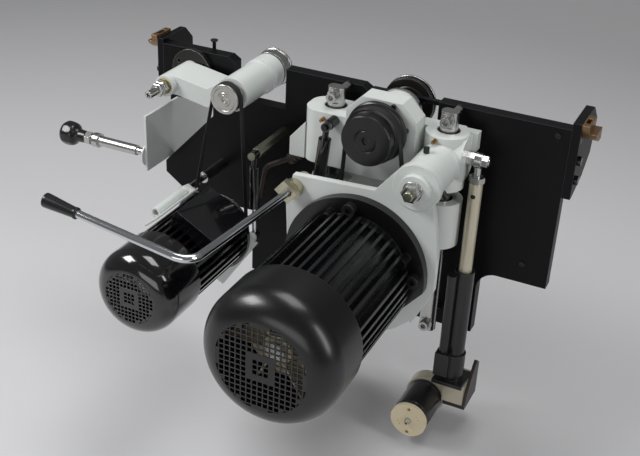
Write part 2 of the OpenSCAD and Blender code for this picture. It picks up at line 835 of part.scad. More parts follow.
module lift_screw() {
    color("#a8abae") laid_out()
        translate([lift_x, lift_y, -gearbox_top - 38]) cylinder(r = screw_r, h = gearbox_top + 38 - screw_top);
}

// Adjusting knob

module knob_grip() {
    tip = -knob_reach;
    color("#17171a") laid_out() translate([0, knob_y, knob_z]) rotate([0, 90, 0]) rotate_extrude()
        polygon(concat(
            [[0, tip]],
            arc(knob_r - 12, tip + 14, 12, 250, 360, 8),
            arc(knob_r - 10, tip + 24, 10, 0, 70, 6),
            [[13, tip + 38], [12, tip + 56], [0, tip + 56]]
        ));
}

module knob_spindle() {
    start = -knob_reach + 56;
    tube_end = -27;
    color("#c8cbcf") laid_out() {
        hex_x(knob_y, knob_z, 24, start, start + 12);
        bar_x(knob_y, knob_z, 8, start + 12, start + 20);
        bar_x(knob_y, knob_z, 14, start + 18, start + 30);
        bar_x(knob_y, knob_z, 10, start + 30, tube_end);
        bar_x(knob_y, knob_z, knob_shaft_r, tube_end, bracket_t - 1 - face_gap);
    }
}

// Carriage

bush_r = column_d / 2 + bush_wall;
left_housing_x0 = column_x0 - 45;
flare_x = column_x0 - 69;
housing_corner = 28;
right_wall_x = column_x1 + 21;
lug_r = 40;
lug_x = lift_x - 20;
lug_z = -lift_eye_drop;
lug_plate = [630, -40, -56, -24];
web_t = 20;
nose_tube_r = 38;
nose_y = -18;
nose_t = 8.5;
block_back = 60;
bearing_y = [-98, -40];
left_guide_top = 155;

module left_housing() {
    depth = housing_front - housing_back;
    translate([0, 0, housing_bottom_z]) linear_extrude(housing_h) {
        translate([left_housing_x0 + housing_corner, -housing_front])
            square([arbor_x - left_housing_x0 - housing_corner, depth]);
        translate([left_housing_x0, -housing_front + housing_corner])
            square([housing_corner + eps, depth - 2 * housing_corner]);
        for (y = [-housing_front + housing_corner, -housing_back - housing_corner])
            translate([left_housing_x0 + housing_corner, y]) circle(r = housing_corner);
    }
    plate_y(-housing_front + 8, -housing_back - 4) polygon([
        [column_x0 - 40, housing_bottom_z], [column_x0 - 40, housing_bottom_z + 68],
        [flare_x + 12, housing_bottom_z + 48], [flare_x, housing_bottom_z + 34], [flare_x, housing_bottom_z]
    ]);
}

module right_housing() {
    translate([column_x1, housing_r - housing_front, housing_bottom_z]) cylinder(r = housing_r, h = housing_h);
    plate_y(column_y, -housing_back) polygon([
        [arbor_x, housing_bottom_z], [arbor_x, -carriage_top], [right_wall_x, -carriage_top],
        [lug_x - 2, lug_z], [lug_x - 2, -96], [right_wall_x + 8, housing_bottom_z + 2],
        [right_wall_x - 12, housing_bottom_z]
    ]);
    bar_x(lift_y, lug_z, lug_r, column_x1, lug_x);
    box([column_x1, lug_plate[1], lug_plate[2]], [lug_plate[0], -housing_back, lug_plate[3]]);
}

module arbor_block() {
    top = arbor_z + block_up;
    plate_y(-block_front, -block_back) polygon([
        [arbor_x - block_half_w, housing_bottom_z], [arbor_x + block_half_w, housing_bottom_z],
        [arbor_x + block_half_w, top - block_chamfer], [arbor_x + block_half_w - block_chamfer, top],
        [arbor_x - block_half_w + block_chamfer, top], [arbor_x - block_half_w, top - block_chamfer]
    ]);
    bar_y(arbor_x, arbor_z, nose_tube_r, -block_back - eps, nose_y);
}

module lower_guides() {
    translate([column_x0, column_y, -lower_guide_bottom])
        cylinder(r = lower_guide_r, h = lower_guide_bottom - left_guide_top);
    translate([column_x1, column_y, -right_guide_bottom])
        cylinder(r = lower_guide_r, h = right_guide_bottom - lower_guide_top);
    plate_y(-housing_back - web_t, -housing_back) polygon([
        [column_x0, -lower_guide_bottom], [column_x1, -right_guide_bottom],
        [column_x1, housing_bottom_z + eps], [column_x0, housing_bottom_z + eps]
    ]);
}

module carriage() {
    color("#e6eae8") laid_out() difference() {
        union() {
            left_housing();
            right_housing();
            arbor_block();
            lower_guides();
            bar_y(swivel_x, swivel_z, swivel_boss_r, motor_back_y + face_gap, column_y - 20);
        }
        for (x = [column_x0, column_x1])
            translate([x, column_y, -lower_guide_bottom - eps])
                cylinder(r = bush_r, h = lower_guide_bottom + eps * 2);
        bar_y(arbor_x, arbor_z, bearing_d / 2, -block_front - eps, nose_y + eps);
        bar_y(swivel_x, swivel_z, swivel_stud_d / 2, motor_back_y - eps, motor_back_y + 40);
        union_part(26, 46, union_r);
    }
}

stud_r = 5;
spring_head = [belt_spring_x, -31.8];
spring_foot = [belt_spring_x - 21, -255];

// Screws, nipples and the gas spring's stud on the carriage
module carriage_fittings() {
    face = -block_front;
    boss_r = swivel_boss_r + 0.2;
    color("#8a7a45") laid_out() {
        for (p = [[20.8, 42.3], [44.9, 5.8]])
            socket_screw(arbor_x + p[0], arbor_z + p[1], 3, 5, 6, face, 0);
        translate([swivel_x - 8, -134, swivel_z + boss_r]) cylinder(r = 5, h = 9);
        bar_between([swivel_x + boss_r * cos(50), -128, swivel_z - boss_r * sin(50)],
                    [swivel_x + (boss_r + 13) * cos(50), -128, swivel_z - (boss_r + 13) * sin(50)], 5);
        bar_y(spring_head[0], spring_head[1], stud_r, -belt_spring_off - eye_half - 4, -housing_front);
        bar_y(spring_head[0], spring_head[1], 9, -belt_spring_off + eye_half + face_gap, -housing_front);
        for (p = [[column_x0 - 3, -33, 0], [column_x1 - 8, -27, 0.2]]) {
            bar_y(p[0], p[1], 3.5, -housing_front - 9, -housing_front + p[2]);
            bar_y(p[0], p[1], 2.5, -housing_front - 13, -housing_front - 9);
        }
    }
}

// Sleeve bush between z0 (low) and z1 (high) on a column
module bush(x, z0, z1) {
    difference() {
        translate([x, column_y, z0]) cylinder(r = bush_r, h = z1 - z0);
        translate([x, column_y, z0 - eps])
            cylinder(r = column_d / 2 + running_gap, h = z1 - z0 + 2 * eps);
    }
}

module guide_bushes() {
    bush_len = 50;
    color("#26262a") laid_out() {
        bush(column_x0, -carriage_top - bush_len, -carriage_top - 2);
        bush(column_x1, -carriage_top - bush_len, -carriage_top - 2);
        bush(column_x0, -left_guide_top, housing_bottom_z + 20);
        bush(column_x1, -lower_guide_top - bush_len, -lower_guide_top - 2);
        bush(column_x0, -lower_guide_bottom + 2, -lower_guide_bottom + bush_len);
    }
}

// Bearings in the carriage's bore, and the steel nose ring on its end
module arbor_bearings() {
    color("#a9adb0") laid_out() {
        for (y = bearing_y) difference() {
            bar_y(arbor_x, arbor_z, bearing_d / 2, y, y + bearing_w);
            bar_y(arbor_x, arbor_z, arbor_d / 2 + running_gap, y - eps, y + bearing_w + eps);
        }
        difference() {
            bar_y(arbor_x, arbor_z, nose_r, nose_y, nose_y + nose_t);
            bar_y(arbor_x, arbor_z, arbor_d / 2 + 2, nose_y - eps, nose_y + nose_t + eps);
        }
    }
}

swivel_hub_r = 25;
swivel_hub_t = 14;
swivel_thread_r = 8;
swivel_nut = [24, 12];

module swivel_stud() {
    hub_y = motor_face_y - swivel_hub_t;
    color("#a9a98e") laid_out() {
        bar_y(swivel_x, swivel_z, swivel_stud_d / 2, hub_y - face_gap, motor_back_y + 40);
        bar_y(swivel_x, swivel_z, swivel_thread_r, hub_y - 24, hub_y);
        difference() {
            union() {
                hex_y(swivel_x, swivel_z, swivel_nut[0] + 4, hub_y - face_gap - 3 - swivel_nut[1],
                      hub_y - face_gap - 3);
                bar_y(swivel_x, swivel_z, 17, hub_y - face_gap - 3, hub_y - face_gap);
            }
            bar_y(swivel_x, swivel_z, swivel_thread_r, hub_y - 40, hub_y + eps);
        }
    }
}

// Main drive

belt_y0 = -belt_off - belt_w / 2;
belt_y1 = -belt_off + belt_w / 2;

module drive_belt() {
    color("#1b1b1c") laid_out()
        belt([arbor_x, arbor_z], arbor_pulley_r + face_gap, [motor_x, motor_z], motor_pulley_r + face_gap,
             belt_t, belt_y0, belt_y1);
}

pipe_r = 5;
pipe_y = -55;
pipe_bend = 24;
union_r = 8;
pipe_low = [240, -233];
pipe_knee = [250, -169];
union_start = [298, -143];
union_dir = [66, 52] / norm([66, 52]);

// Length of the union on the pipe's end, from u0 to u1 along its axis
module union_part(u0, u1, r) {
    p = union_start + union_dir * u0;
    q = union_start + union_dir * u1;
    bar_between([p[0], pipe_y, p[1]], [q[0], pipe_y, q[1]], r);
}

module stay_pipe() {
    color("#2b2623") laid_out() {
        translate([0, pipe_y, 0]) rotate([90, 0, 0])
            bent_bar(pipe_low, pipe_knee, union_start + union_dir * 8, pipe_bend, pipe_r);
        union_part(0, 9, 10.5);
        union_part(8, 46, union_r);
        union_part(12, 16, 10);
        union_part(21, 26, 10.5);
    }
}

module lift_rod() {
    rod_top = -102;
    rod_bottom = -lift_tube_top - 30;
    color("#c9c2ad") laid_out() difference() {
        translate([lift_x, lift_y, rod_bottom]) cylinder(d = lift_rod_d, h = rod_top - rod_bottom);
        translate([lift_x, lift_y, rod_bottom - eps])
            cylinder(r = screw_r + running_gap, h = rod_top - rod_bottom - 8);
    }
}

module lift_eye() {
    eye_z = -lift_eye_drop;
    eye_t = 12;
    color("#bfc0bd") laid_out() {
        difference() {
            union() {
                bar_x(lift_y, eye_z, 13, lift_x - eye_t / 2, lift_x + eye_t / 2);
                translate([lift_x, lift_y, -102]) cylinder(r = 6, h = 40);
                translate([lift_x, lift_y, -102]) cylinder(d = 24 / cos(30), h = 10, $fn = 6);
            }
            bar_x(lift_y, eye_z, 6, lift_x - eye_t, lift_x + eye_t);
        }
        hex_x(lift_y, eye_z, 20, lug_x, lift_x - eye_t / 2);
        bar_x(lift_y, eye_z, 6, lift_x - eye_t / 2, lift_x + 18);
        difference() {
            hex_x(lift_y, eye_z, 18, lift_x + eye_t / 2, lift_x + eye_t / 2 + 10);
            bar_x(lift_y, eye_z, 6, lift_x, lift_x + 30);
        }
    }
}

arbor_front = -156;
shaft_neck_r = 16;
inner_flange_end = flange_front + flange_t;
outer_flange_start = inner_flange_end + blade_gap;
outer_flange_end = outer_flange_start + outer_flange_t;

module arbor_shaft() {
    color("#b4b7b9") laid_out() {
        bar_y(arbor_x, arbor_z, arbor_d / 2, arbor_front, flange_front);
        bar_y(arbor_x, arbor_z, blade_bore_d / 2, flange_front - eps, outer_flange_end + 16);
        bar_y(arbor_x, arbor_z, arbor_d / 2 + 1, nose_y + nose_t + 1, flange_front);
    }
}

module blade_flanges() {
    color("#3c3d40") laid_out() {
        difference() {
            bar_y(arbor_x, arbor_z, flange_r, flange_front, inner_flange_end);
            bar_y(arbor_x, arbor_z, blade_bore_d / 2, flange_front - eps, inner_flange_end + eps);
        }
        difference() {
            union() {
                bar_y(arbor_x, arbor_z, flange_rim_r, outer_flange_start, outer_flange_end);
                hex_y(arbor_x, arbor_z, 36, outer_flange_end, outer_flange_end + 12);
            }
            bar_y(arbor_x, arbor_z, blade_bore_d / 2, outer_flange_start - eps, outer_flange_end + 13);
        }
    }
}

pulley_front = 162;
pulley_ring_r = 52;

module arbor_pulley() {
    r = arbor_pulley_r;
    color("#1d1a1a") laid_out() turned_y(arbor_x, arbor_z) polygon([
        [arbor_d / 2, -block_front - 8], [arbor_d / 2, arbor_front], [4, arbor_front],
        [4, -pulley_front + 2], [17, -pulley_front + 2], [18, -pulley_front], [36, -pulley_front],
        [38.6, -pulley_front + 1.5], [r - 3, -pulley_front + 7], [r - 2, -pulley_front + 10],
        [r - 2, belt_y0 - 5], [r + 3, belt_y0 - 2], [r + 3, belt_y0 - 1], [r, belt_y0 - 1],
        [r, belt_y1 + 1], [pulley_ring_r - 2, belt_y1 + 2], [pulley_ring_r, belt_y1 + 4],
        [pulley_ring_r, belt_y1 + 8], [pulley_ring_r - 3, belt_y1 + 11], [32, -block_front - 8]
    ]);
}

module motor_plate_outline() {
    translate([motor_x, motor_z]) circle(r = motor_plate_r);
    translate([swivel_x, swivel_z]) circle(r = swivel_ear_r);
    polygon([
        [lever_x - 4, lever_z + 22], [arbor_x + 33, lever_z + 30], [swivel_x - 30, swivel_z + 26],
        [swivel_x + 30, swivel_z - 20], [swivel_x + 40, swivel_z - 70], [swivel_x + 46, swivel_z - 118],
        [swivel_x + 46, swivel_z - 177], [swivel_x + 39, swivel_z - 197], [swivel_x + 13, swivel_z - 248],
        [motor_x, motor_z], [lever_x - 11, motor_z + 10], [lever_x - 15, lever_z - 33]
    ]);
}

motor_spigot_r = 50;
bolt_head = [11, 14];
bolt_angles = [5, 95, 185, 275];

module motor_plate() {
    color("#e3e8e5") laid_out() difference() {
        union() {
            plate_y(motor_face_y, motor_back_y) motor_plate_outline();
            bar_y(swivel_x, swivel_z, swivel_hub_r, motor_face_y - swivel_hub_t, motor_face_y + eps);
            bar_y(swivel_x, swivel_z, swivel_ear_r - 1, motor_face_y - 2, motor_face_y + eps);
            bar_y(spring_foot[0], spring_foot[1], stud_r, motor_back_y - eps, -belt_spring_off + eye_half);
            bar_y(spring_foot[0], spring_foot[1], 9, motor_back_y - eps, -belt_spring_off - eye_half - face_gap);
        }
        bar_y(motor_x, motor_z, motor_spigot_r, motor_face_y - eps, motor_back_y + eps);
        bar_y(swivel_x, swivel_z, swivel_stud_d / 2 + running_gap, motor_face_y - 20, motor_back_y + eps);
        bar_y(lever_x, lever_z, lever_d / 2 + running_gap, motor_face_y - eps, motor_back_y + eps);
        for (a = bolt_angles)
            bar_y(motor_x + motor_pcd / 2 * cos(a), motor_z + motor_pcd / 2 * sin(a),
                  motor_bolt_d / 2 + hole_play, motor_face_y - eps, motor_back_y + eps);
    }
}

flange_flat = 104;
flange_flat_angle = -40;
shield_t = 16;
shield_r = 96;
tube_front_y = motor_face_y - motor_flange_t - shield_t;
tube_end_y = tube_front_y - motor_len;
cowl_rim_y = tube_end_y;
motor_shaft_r = 14;

module motor_flange() {
    front = motor_face_y - motor_flange_t;
    color("#1a1a1b") laid_out() difference() {
        union() {
            plate_y(front, motor_face_y) difference() {
                translate([motor_x, motor_z]) circle(r = motor_flange_r);
                translate([motor_x, motor_z]) rotate(flange_flat_angle)
                    translate([flange_flat, -motor_flange_r]) square([motor_flange_r, 2 * motor_flange_r]);
            }
            bar_y(motor_x, motor_z, shield_r, tube_front_y, front + eps);
            for (a = bolt_angles) bar_y(motor_x + 99 * cos(a + 21), motor_z + 99 * sin(a + 21), 9,
                                        tube_front_y - 6, front + eps);
        }
        bar_y(motor_x, motor_z, motor_shaft_r + running_gap, tube_front_y - eps, motor_face_y + eps);
        for (a = bolt_angles)
            bar_y(motor_x + motor_pcd / 2 * cos(a), motor_z + motor_pcd / 2 * sin(a),
                  motor_bolt_d / 2 + hole_play, front - shield_t - 8, motor_face_y + eps);
        for (a = bolt_angles)
            bar_y(motor_x + motor_pcd / 2 * cos(a), motor_z + motor_pcd / 2 * sin(a),
                  bolt_head[0] + 0.5, front - shield_t - 8, front);
    }
}

stator_r = 84;

module motor_body() {
    color("#1b1b1c") laid_out() difference() {
        union() {
            plate_y(tube_end_y, tube_front_y) difference() {
                translate([motor_x, motor_z]) finned(fin_r, fin_h, fin_count, 0.16);
                for (a = bolt_angles)
                    translate([motor_x + 99 * cos(a + 21), motor_z + 99 * sin(a + 21)]) circle(r = 9 + face_gap);
            }
            bar_y(motor_x, motor_z, cowl_r - cowl_t - face_gap, tube_end_y - 10, tube_end_y);
        }
        bar_y(motor_x, motor_z, stator_r, tube_end_y + 10, tube_front_y + eps);
        bar_y(motor_x, motor_z, motor_shaft_r + running_gap, tube_end_y - 20, tube_end_y + 20);
    }
}

module motor_stator() {
    color("#7b4a2a") laid_out() difference() {
        bar_y(motor_x, motor_z, stator_r, tube_end_y + 34, tube_front_y - 24);
        bar_y(motor_x, motor_z, 62, tube_end_y + 34 - eps, tube_front_y - 24 + eps);
    }
}

// Sheet metal cowl about a Y axis, open at the back, with a grid of square holes in front
module cowl(x, z, r, length, rounding, back_y, pitch, hole) {
    front = back_y - length;
    flat_r = r - rounding;
    cells = floor(flat_r / pitch);
    difference() {
        turned_y(x, z) polygon(concat(
            [[r, back_y]],
            arc(flat_r, front + rounding, rounding, 0, -90, 8),
            [[0, front], [0, front + cowl_t]],
            arc(flat_r, front + rounding, rounding - cowl_t, -90, 0, 8),
            [[r - cowl_t, back_y]]
        ));
        for (i = [-cells : cells]) for (j = [-cells : cells])
            if (norm([i, j]) * pitch < flat_r && max(abs(i), abs(j)) != 1)
                translate([x + i * pitch - hole / 2, front - eps, z + j * pitch - hole / 2])
                    cube([hole, cowl_t + 2 * eps, hole]);
    }
}

module motor_cowl() {
    color("#141416") laid_out()
        cowl(motor_x, motor_z, cowl_r, cowl_len, cowl_round, cowl_rim_y, grid_pitch, grid_hole);
}

module motor_bolts() {
    front = motor_face_y - motor_flange_t;
    color("#1c1c1d") laid_out() for (a = bolt_angles)
        socket_screw(motor_x + motor_pcd / 2 * cos(a), motor_z + motor_pcd / 2 * sin(a),
                     motor_bolt_d / 2, bolt_head[0], bolt_head[1], front, motor_flange_t + motor_plate_t + 8);
}

module motor_rotor() {
    color("#8d9093") laid_out() {
        bar_y(motor_x, motor_z, motor_shaft_r, tube_end_y - 60, belt_y1 + 8);
        bar_y(motor_x, motor_z, 61, tube_end_y + 38, tube_front_y - 28);
    }
}

module motor_pulley() {
    r = motor_pulley_r;
    color("#a9acae") laid_out() turned_y(motor_x, motor_z) polygon([
        [motor_shaft_r, belt_y1 + 6], [motor_shaft_r, motor_back_y - 4], [30, motor_back_y - 4],
        [30, belt_y0 - 8], [r + 3, belt_y0 - 4], [r + 3, belt_y0 - 1], [r, belt_y0 - 1],
        [r, belt_y1 + 1], [r + 3, belt_y1 + 1], [r + 3, belt_y1 + 4], [r - 12, belt_y1 + 6]
    ]);
}

// Radial cooling fan on a shaft, with its disc at y1 (back)
module fan(x, z, r, hub_r, bore_r, depth, y1, blades) {
    difference() {
        union() {
            bar_y(x, z, hub_r, y1 - depth, y1);
            bar_y(x, z, r * 0.72, y1 - 3, y1);
            for (i = [0 : blades - 1]) translate([x, y1, z]) rotate([0, 360 / blades * i, 0])
                translate([hub_r * 0.8, -depth, -1.5]) cube([r - hub_r * 0.8, depth, 3]);
        }
        bar_y(x, z, bore_r, y1 - depth - eps, y1 + eps);
    }
}

module motor_fan() {
    color("#e0d6bd") laid_out()
        fan(motor_x, motor_z, cowl_r - 22, 24, motor_shaft_r, 36, cowl_rim_y - 18, 6);
}

// Belt lever

collar_front = 14;
lever_block_t = 12;
lever_block_size = [32, 26];
lever_block_angle = -40;
lever_front_y = motor_face_y - collar_front - lever_block_t;
lever_skew = 19;
grip_slope = 8.25;
grip_dir = [-cos(grip_slope), 0, sin(grip_slope)];
bend_point = [lever_x, lever_front_y - lever_reach, lever_z] + grip_dir * lever_skew;

// Shaft with its clamp block in front of the motor plate and its cam behind
module lever_shaft() {
    color("#beb68f") laid_out() {
        bar_y(lever_x, lever_z, lever_d / 2, motor_face_y - collar_front, motor_back_y + 26);
        bar_y(lever_x, lever_z, lever_d / 2 + 4, motor_face_y - collar_front, motor_face_y - face_gap);
        bar_y(lever_x + 3, lever_z, lever_d / 2 + 4, motor_back_y + face_gap, motor_back_y + 16);
        difference() {
            translate([lever_x - 4, lever_front_y + lever_block_t, lever_z]) rotate([90, 0, 0])
                rotate(lever_block_angle) linear_extrude(lever_block_t) square(lever_block_size, center = true);
            bar_y(lever_x, lever_z, lever_rod_d / 2 + bend_swell, lever_front_y - eps,
                  lever_front_y + lever_block_t - 1);
        }
    }
}

module lever_rod() {
    bend_r = 30;
    neck = 1.5;
    color("#cfd2d6") laid_out() {
        bar_y(lever_x, lever_z, lever_rod_d / 2 + bend_swell, lever_front_y - 2 * neck,
              lever_front_y + lever_block_t - 1);
        translate([lever_x, lever_front_y - neck, lever_z]) rotate([0, grip_slope, 0])
            bent_bar([0, 0], [-lever_skew, neck - lever_reach], [-lever_skew - lever_side, neck - lever_reach],
                     bend_r, lever_rod_d / 2);
    }
}

module lever_grip() {
    p = bend_point + grip_dir * lever_side;
    color("#1f1b19") laid_out() {
        bar_between(p, p + grip_dir * 5, lever_rod_d / 2 + 3);
        translate(p + grip_dir * 4) rotate([0, -acos(grip_dir[2]), 0])
            cylinder(r1 = lever_rod_d / 2 + 2, r2 = lever_rod_d / 2 + 5.5, h = lever_grip_len - 4);
    }
}

// Scoring saw

arm_front = 88;
spindle_front = 103;
arm_back = 12;
hub_r = 19.5;
ring_r = 33;
ring_y = [-4, 32];

module scoring_arm() {
    color("#e4e8e6") laid_out() difference() {
        union() {
            bar_y(pivot_x, pivot_z, hub_r, -pin_front + face_gap, -disc_t - face_gap);
            plate_y(-arm_front, -arm_back) polygon([
                [pivot_x, pivot_z - hub_r + 2], [pivot_x + 19, pivot_z - 17],
                [spindle_x - 59, spindle_z - 42], [spindle_x - 10, spindle_z - 26],
                [spindle_x - 10, spindle_z + 24], [spindle_x - 59, spindle_z - 7],
                [pivot_x + 19, pivot_z + 17], [pivot_x, pivot_z + hub_r - 0.5]
            ]);
            bar_y(spindle_x, spindle_z, spindle_housing_r, -spindle_front, ring_y[0] + eps);
            bar_y(spindle_x, spindle_z, ring_r, ring_y[0], ring_y[1]);
        }
        bar_y(pivot_x, pivot_z, pin_r + running_gap, -pin_front - eps, eps);
        bar_y(spindle_x, spindle_z, spindle_d / 2 + running_gap, -spindle_front - eps, ring_y[1] + eps);
    }
}

flange_rim_t = 4;
scoring_flange_y = [36, 62];

module scoring_shaft() {
    color("#b9bcbe") laid_out()
        bar_y(spindle_x, spindle_z, spindle_d / 2, -127, scoring_flange_y[1] + 2);
}

module scoring_flange() {
    color("#2e2d2c") laid_out() difference() {
        union() {
            bar_y(spindle_x, spindle_z, scoring_flange_r, scoring_flange_y[0], scoring_flange_y[1]);
            bar_y(spindle_x, spindle_z, scoring_flange_r + 2, scoring_flange_y[1] - flange_rim_t,
                  scoring_flange_y[1]);
        }
        bar_y(spindle_x, spindle_z, spindle_d / 2, scoring_flange_y[0] - eps, scoring_flange_y[1] + eps);
    }
}

score_belt_y0 = -scoring_belt_off - scoring_belt_w / 2;
score_belt_y1 = -scoring_belt_off + scoring_belt_w / 2;

module scoring_pulley() {
    r = spindle_pulley_r;
    color("#c4c0b6") laid_out() {
        turned_y(spindle_x, spindle_z) polygon([
            [spindle_d / 2, score_belt_y1 + 4], [spindle_d / 2, -127], [spindle_d / 2, -128],
            [11, -130], [r, -130], [r + 1, -129], [r + 1, score_belt_y0 - 1], [r, score_belt_y0 - 1],
            [r, score_belt_y1 + 1], [r + 1, score_belt_y1 + 1], [r + 1, score_belt_y1 + 4]
        ]);
        difference() {
            bar_y(spindle_x, spindle_z, 8, -131, -127);
            hex_y(spindle_x, spindle_z, 9, -132, -128);
        }
    }
}

module scoring_belt() {
    color("#2a2a28") laid_out()
        belt([spindle_x, spindle_z], spindle_pulley_r + face_gap, [score_motor_x, score_z],
             score_pulley_r + face_gap, scoring_belt_t, score_belt_y0, score_belt_y1);
}

gas_foot = [score_motor_x + 75, score_z + 1];
mount_back_y = -mount_front + mount_t;
gusset = [[-15, -265, 76.4], [17, -131, 79.4]];
gusset_angle = -39;

module scoring_mount() {
    color("#dde2df") laid_out() difference() {
        union() {
            plate_y(-mount_front, mount_back_y) {
                polygon([
                    [score_motor_x + 88, score_z - 8], [hinge_x + 6, hinge_z + 15], [hinge_x - 12, hinge_z + 4],
                    [hinge_x - 6, hinge_z - 34], [score_motor_x - 28, score_z - 88],
                    [score_motor_x + 20, score_z - 111]
                ]);
                translate(gas_foot) circle(r = 10);
            }
            bar_y(hinge_x, hinge_z, hinge_tube_r, hinge_tube_y[0], mount_back_y);
            translate([score_motor_x, 0, score_z]) rotate([0, gusset_angle, 0]) box(gusset[0], gusset[1]);
            bar_y(gas_foot[0], gas_foot[1], stud_r, mount_back_y - eps, -gas_off + eye_half + 1);
        }
        bar_y(hinge_x, hinge_z, hinge_pin_r + running_gap, hinge_tube_y[0] - eps, mount_back_y + eps);
        bar_y(score_motor_x, score_z, 26, -mount_front - eps, mount_back_y + eps);
    }
}

score_flange_t = 8;
score_flange_r = 76;
score_tube_y = -mount_front - score_flange_t;
score_tube_end = score_tube_y - score_motor_len;
score_shaft_r = 9.5;
score_bore_r = 56;

module scoring_motor() {
    color("#0e0e10") laid_out() difference() {
        union() {
            bar_y(score_motor_x, score_z, score_flange_r, score_tube_y, -mount_front);
            plate_y(score_tube_end, score_tube_y)
                translate([score_motor_x, score_z]) finned(score_fin_r, 10, 32, 0.16);
            bar_y(score_motor_x, score_z, score_cowl_r - cowl_t - face_gap, score_tube_end - 8, score_tube_end);
        }
        bar_y(score_motor_x, score_z, score_bore_r, score_tube_end + 8, score_tube_y - 8);
        bar_y(score_motor_x, score_z, score_shaft_r + running_gap, score_tube_end - 20, eps);
    }
}

module scoring_cowl() {
    color("#0c0c0e") laid_out()
        cowl(score_motor_x, score_z, score_cowl_r, score_cowl_len, score_cowl_round, score_tube_end, grid_pitch * 0.72,
             grid_hole * 0.68);
}

terminal_angle = -28.3;
terminal_x = [-40, 49];
terminal_z = [score_fin_r - 12, 99];
terminal_y = [-280, -170];

module terminal_box() {
    color("#0f0f10") laid_out() difference() {
        translate([score_motor_x, 0, score_z]) rotate([0, -terminal_angle, 0]) {
            box([terminal_x[0] + 3, terminal_y[0] + 3, terminal_z[0]],
                [terminal_x[1] - 3, terminal_y[1] - 3, terminal_z[1] - 20]);
            box([terminal_x[0], terminal_y[0], terminal_z[1] - 20], [terminal_x[1], terminal_y[1], terminal_z[1]]);
        }
        bar_y(score_motor_x, score_z, score_fin_r + face_gap, terminal_y[0] - 5, terminal_y[1] + 5);
    }
}

module scoring_rotor() {
    r = score_pulley_r;
    color("#8c8f92") laid_out() {
        bar_y(score_motor_x, score_z, score_shaft_r, score_tube_end - 60, score_belt_y1 + 4);
        bar_y(score_motor_x, score_z, 42, score_tube_end + 30, score_tube_y - 30);
        turned_y(score_motor_x, score_z) polygon([
            [score_shaft_r, score_belt_y1 + 3], [score_shaft_r, score_belt_y0 - 4], [24, score_belt_y0 - 4],
            [24, score_belt_y0 - 2], [r + 2, score_belt_y0 - 2], [r + 2, score_belt_y0 - 1], [r, score_belt_y0 - 1],
            [r, score_belt_y1 + 1], [r + 2, score_belt_y1 + 1], [r + 2, score_belt_y1 + 2],
            [24, score_belt_y1 + 3]
        ]);
    }
}

module scoring_fan() {
    color("#e6e0cc") laid_out()
        fan(score_motor_x, score_z, score_cowl_r - 11.5, 16, score_shaft_r, 34, score_tube_end - 18, 6);
}

// Gas springs

gas_eye_r = 8;
gas_cylinder = 103;
gas_pin_play = 0.3;

// Upper half of a gas spring: an eye at head and a cylinder towards foot, in the plane Y = y
module spring_cylinder(head, foot, y, r, length) {
    top = [head[0], y, head[1]];
    dir = ([foot[0], y, foot[1]] - top) / norm(foot - head);
    difference() {
        union() {
            bar_y(top[0], top[2], gas_eye_r, y - eye_half + 1, y + eye_half);
            bar_between(top, top + dir * 24, 5.5);
            bar_between(top + dir * 22, top + dir * length, r);
        }
        bar_y(top[0], top[2], stud_r + gas_pin_play, y - eye_half - eps, y + eye_half + eps);
        bar_between(top + dir * 40, top + dir * (length + 2), gas_rod_r + gas_pin_play);
    }
}

// Lower half of a gas spring: a rod that starts inside the cylinder, and an eye at foot
module spring_rod(head, foot, y, inside) {
    top = [head[0], y, head[1]];
    end = [foot[0], y, foot[1]];
    dir = (end - top) / norm(end - top);
    difference() {
        union() {
            bar_between(top + dir * inside, end - dir * 4, gas_rod_r);
            bar_y(end[0], end[2], gas_eye_r, y - eye_half + 1, y + eye_half);
        }
        bar_y(end[0], end[2], stud_r + gas_pin_play * 2, y - eye_half - eps, y + eye_half + eps);
    }
}

module scoring_spring() {
    color("#111113") laid_out() spring_cylinder([gas_x, -gas_drop], gas_foot, -gas_off, gas_r, gas_cylinder);
}

module scoring_spring_rod() {
    color("#b5b8ba") laid_out() spring_rod([gas_x, -gas_drop], gas_foot, -gas_off, 62);
}

module belt_spring() {
    color("#121214") laid_out() spring_cylinder(spring_head, spring_foot, -belt_spring_off, belt_spring_r, 150);
}

module belt_spring_rod() {
    color("#b5b8ba") laid_out() spring_rod(spring_head, spring_foot, -belt_spring_off, 80);
}

frame_plate();
notch_strip();
left_end_plate();
right_end_plate();
trunnion_segments();
frame_fixings();
guide_columns();
scoring_disc();
scoring_pivot();
scoring_bracket();
gas_standoff();
hinge_pin();
lift_foot();
lift_tubes();
lift_collar();
lift_gearbox();
lift_motor();
lift_motor_cap();
lift_screw();
knob_grip();
knob_spindle();
carriage();
carriage_fittings();
guide_bushes();
arbor_bearings();
swivel_stud();
drive_belt();
stay_pipe();
lift_rod();
lift_eye();
belt_spring();
belt_spring_rod();
arbor_shaft();
blade_flanges();
arbor_pulley();
motor_plate();
motor_flange();
motor_body();
motor_stator();
motor_cowl();
motor_bolts();
motor_rotor();
motor_pulley();
motor_fan();
lever_shaft();
lever_rod();
lever_grip();
scoring_arm();
scoring_shaft();
scoring_flange();
scoring_pulley();
scoring_belt();
scoring_mount();
scoring_motor();
scoring_cowl();
terminal_box();
scoring_rotor();
scoring_fan();
scoring_spring();
scoring_spring_rod();
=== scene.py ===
# %% [markdown]
# # Saw unit of a sliding table saw
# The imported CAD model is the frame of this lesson: every body already sits where it belongs, in metres, with
# the origin on the tilt axis. Here it gets its finishes, and the pieces whose looks carry the picture are made
# again as surfaces worked out with numpy.

# %% Load the frame and keep its box
import bpy, bmesh, json, math
import numpy as np
from mathutils import Matrix, Vector


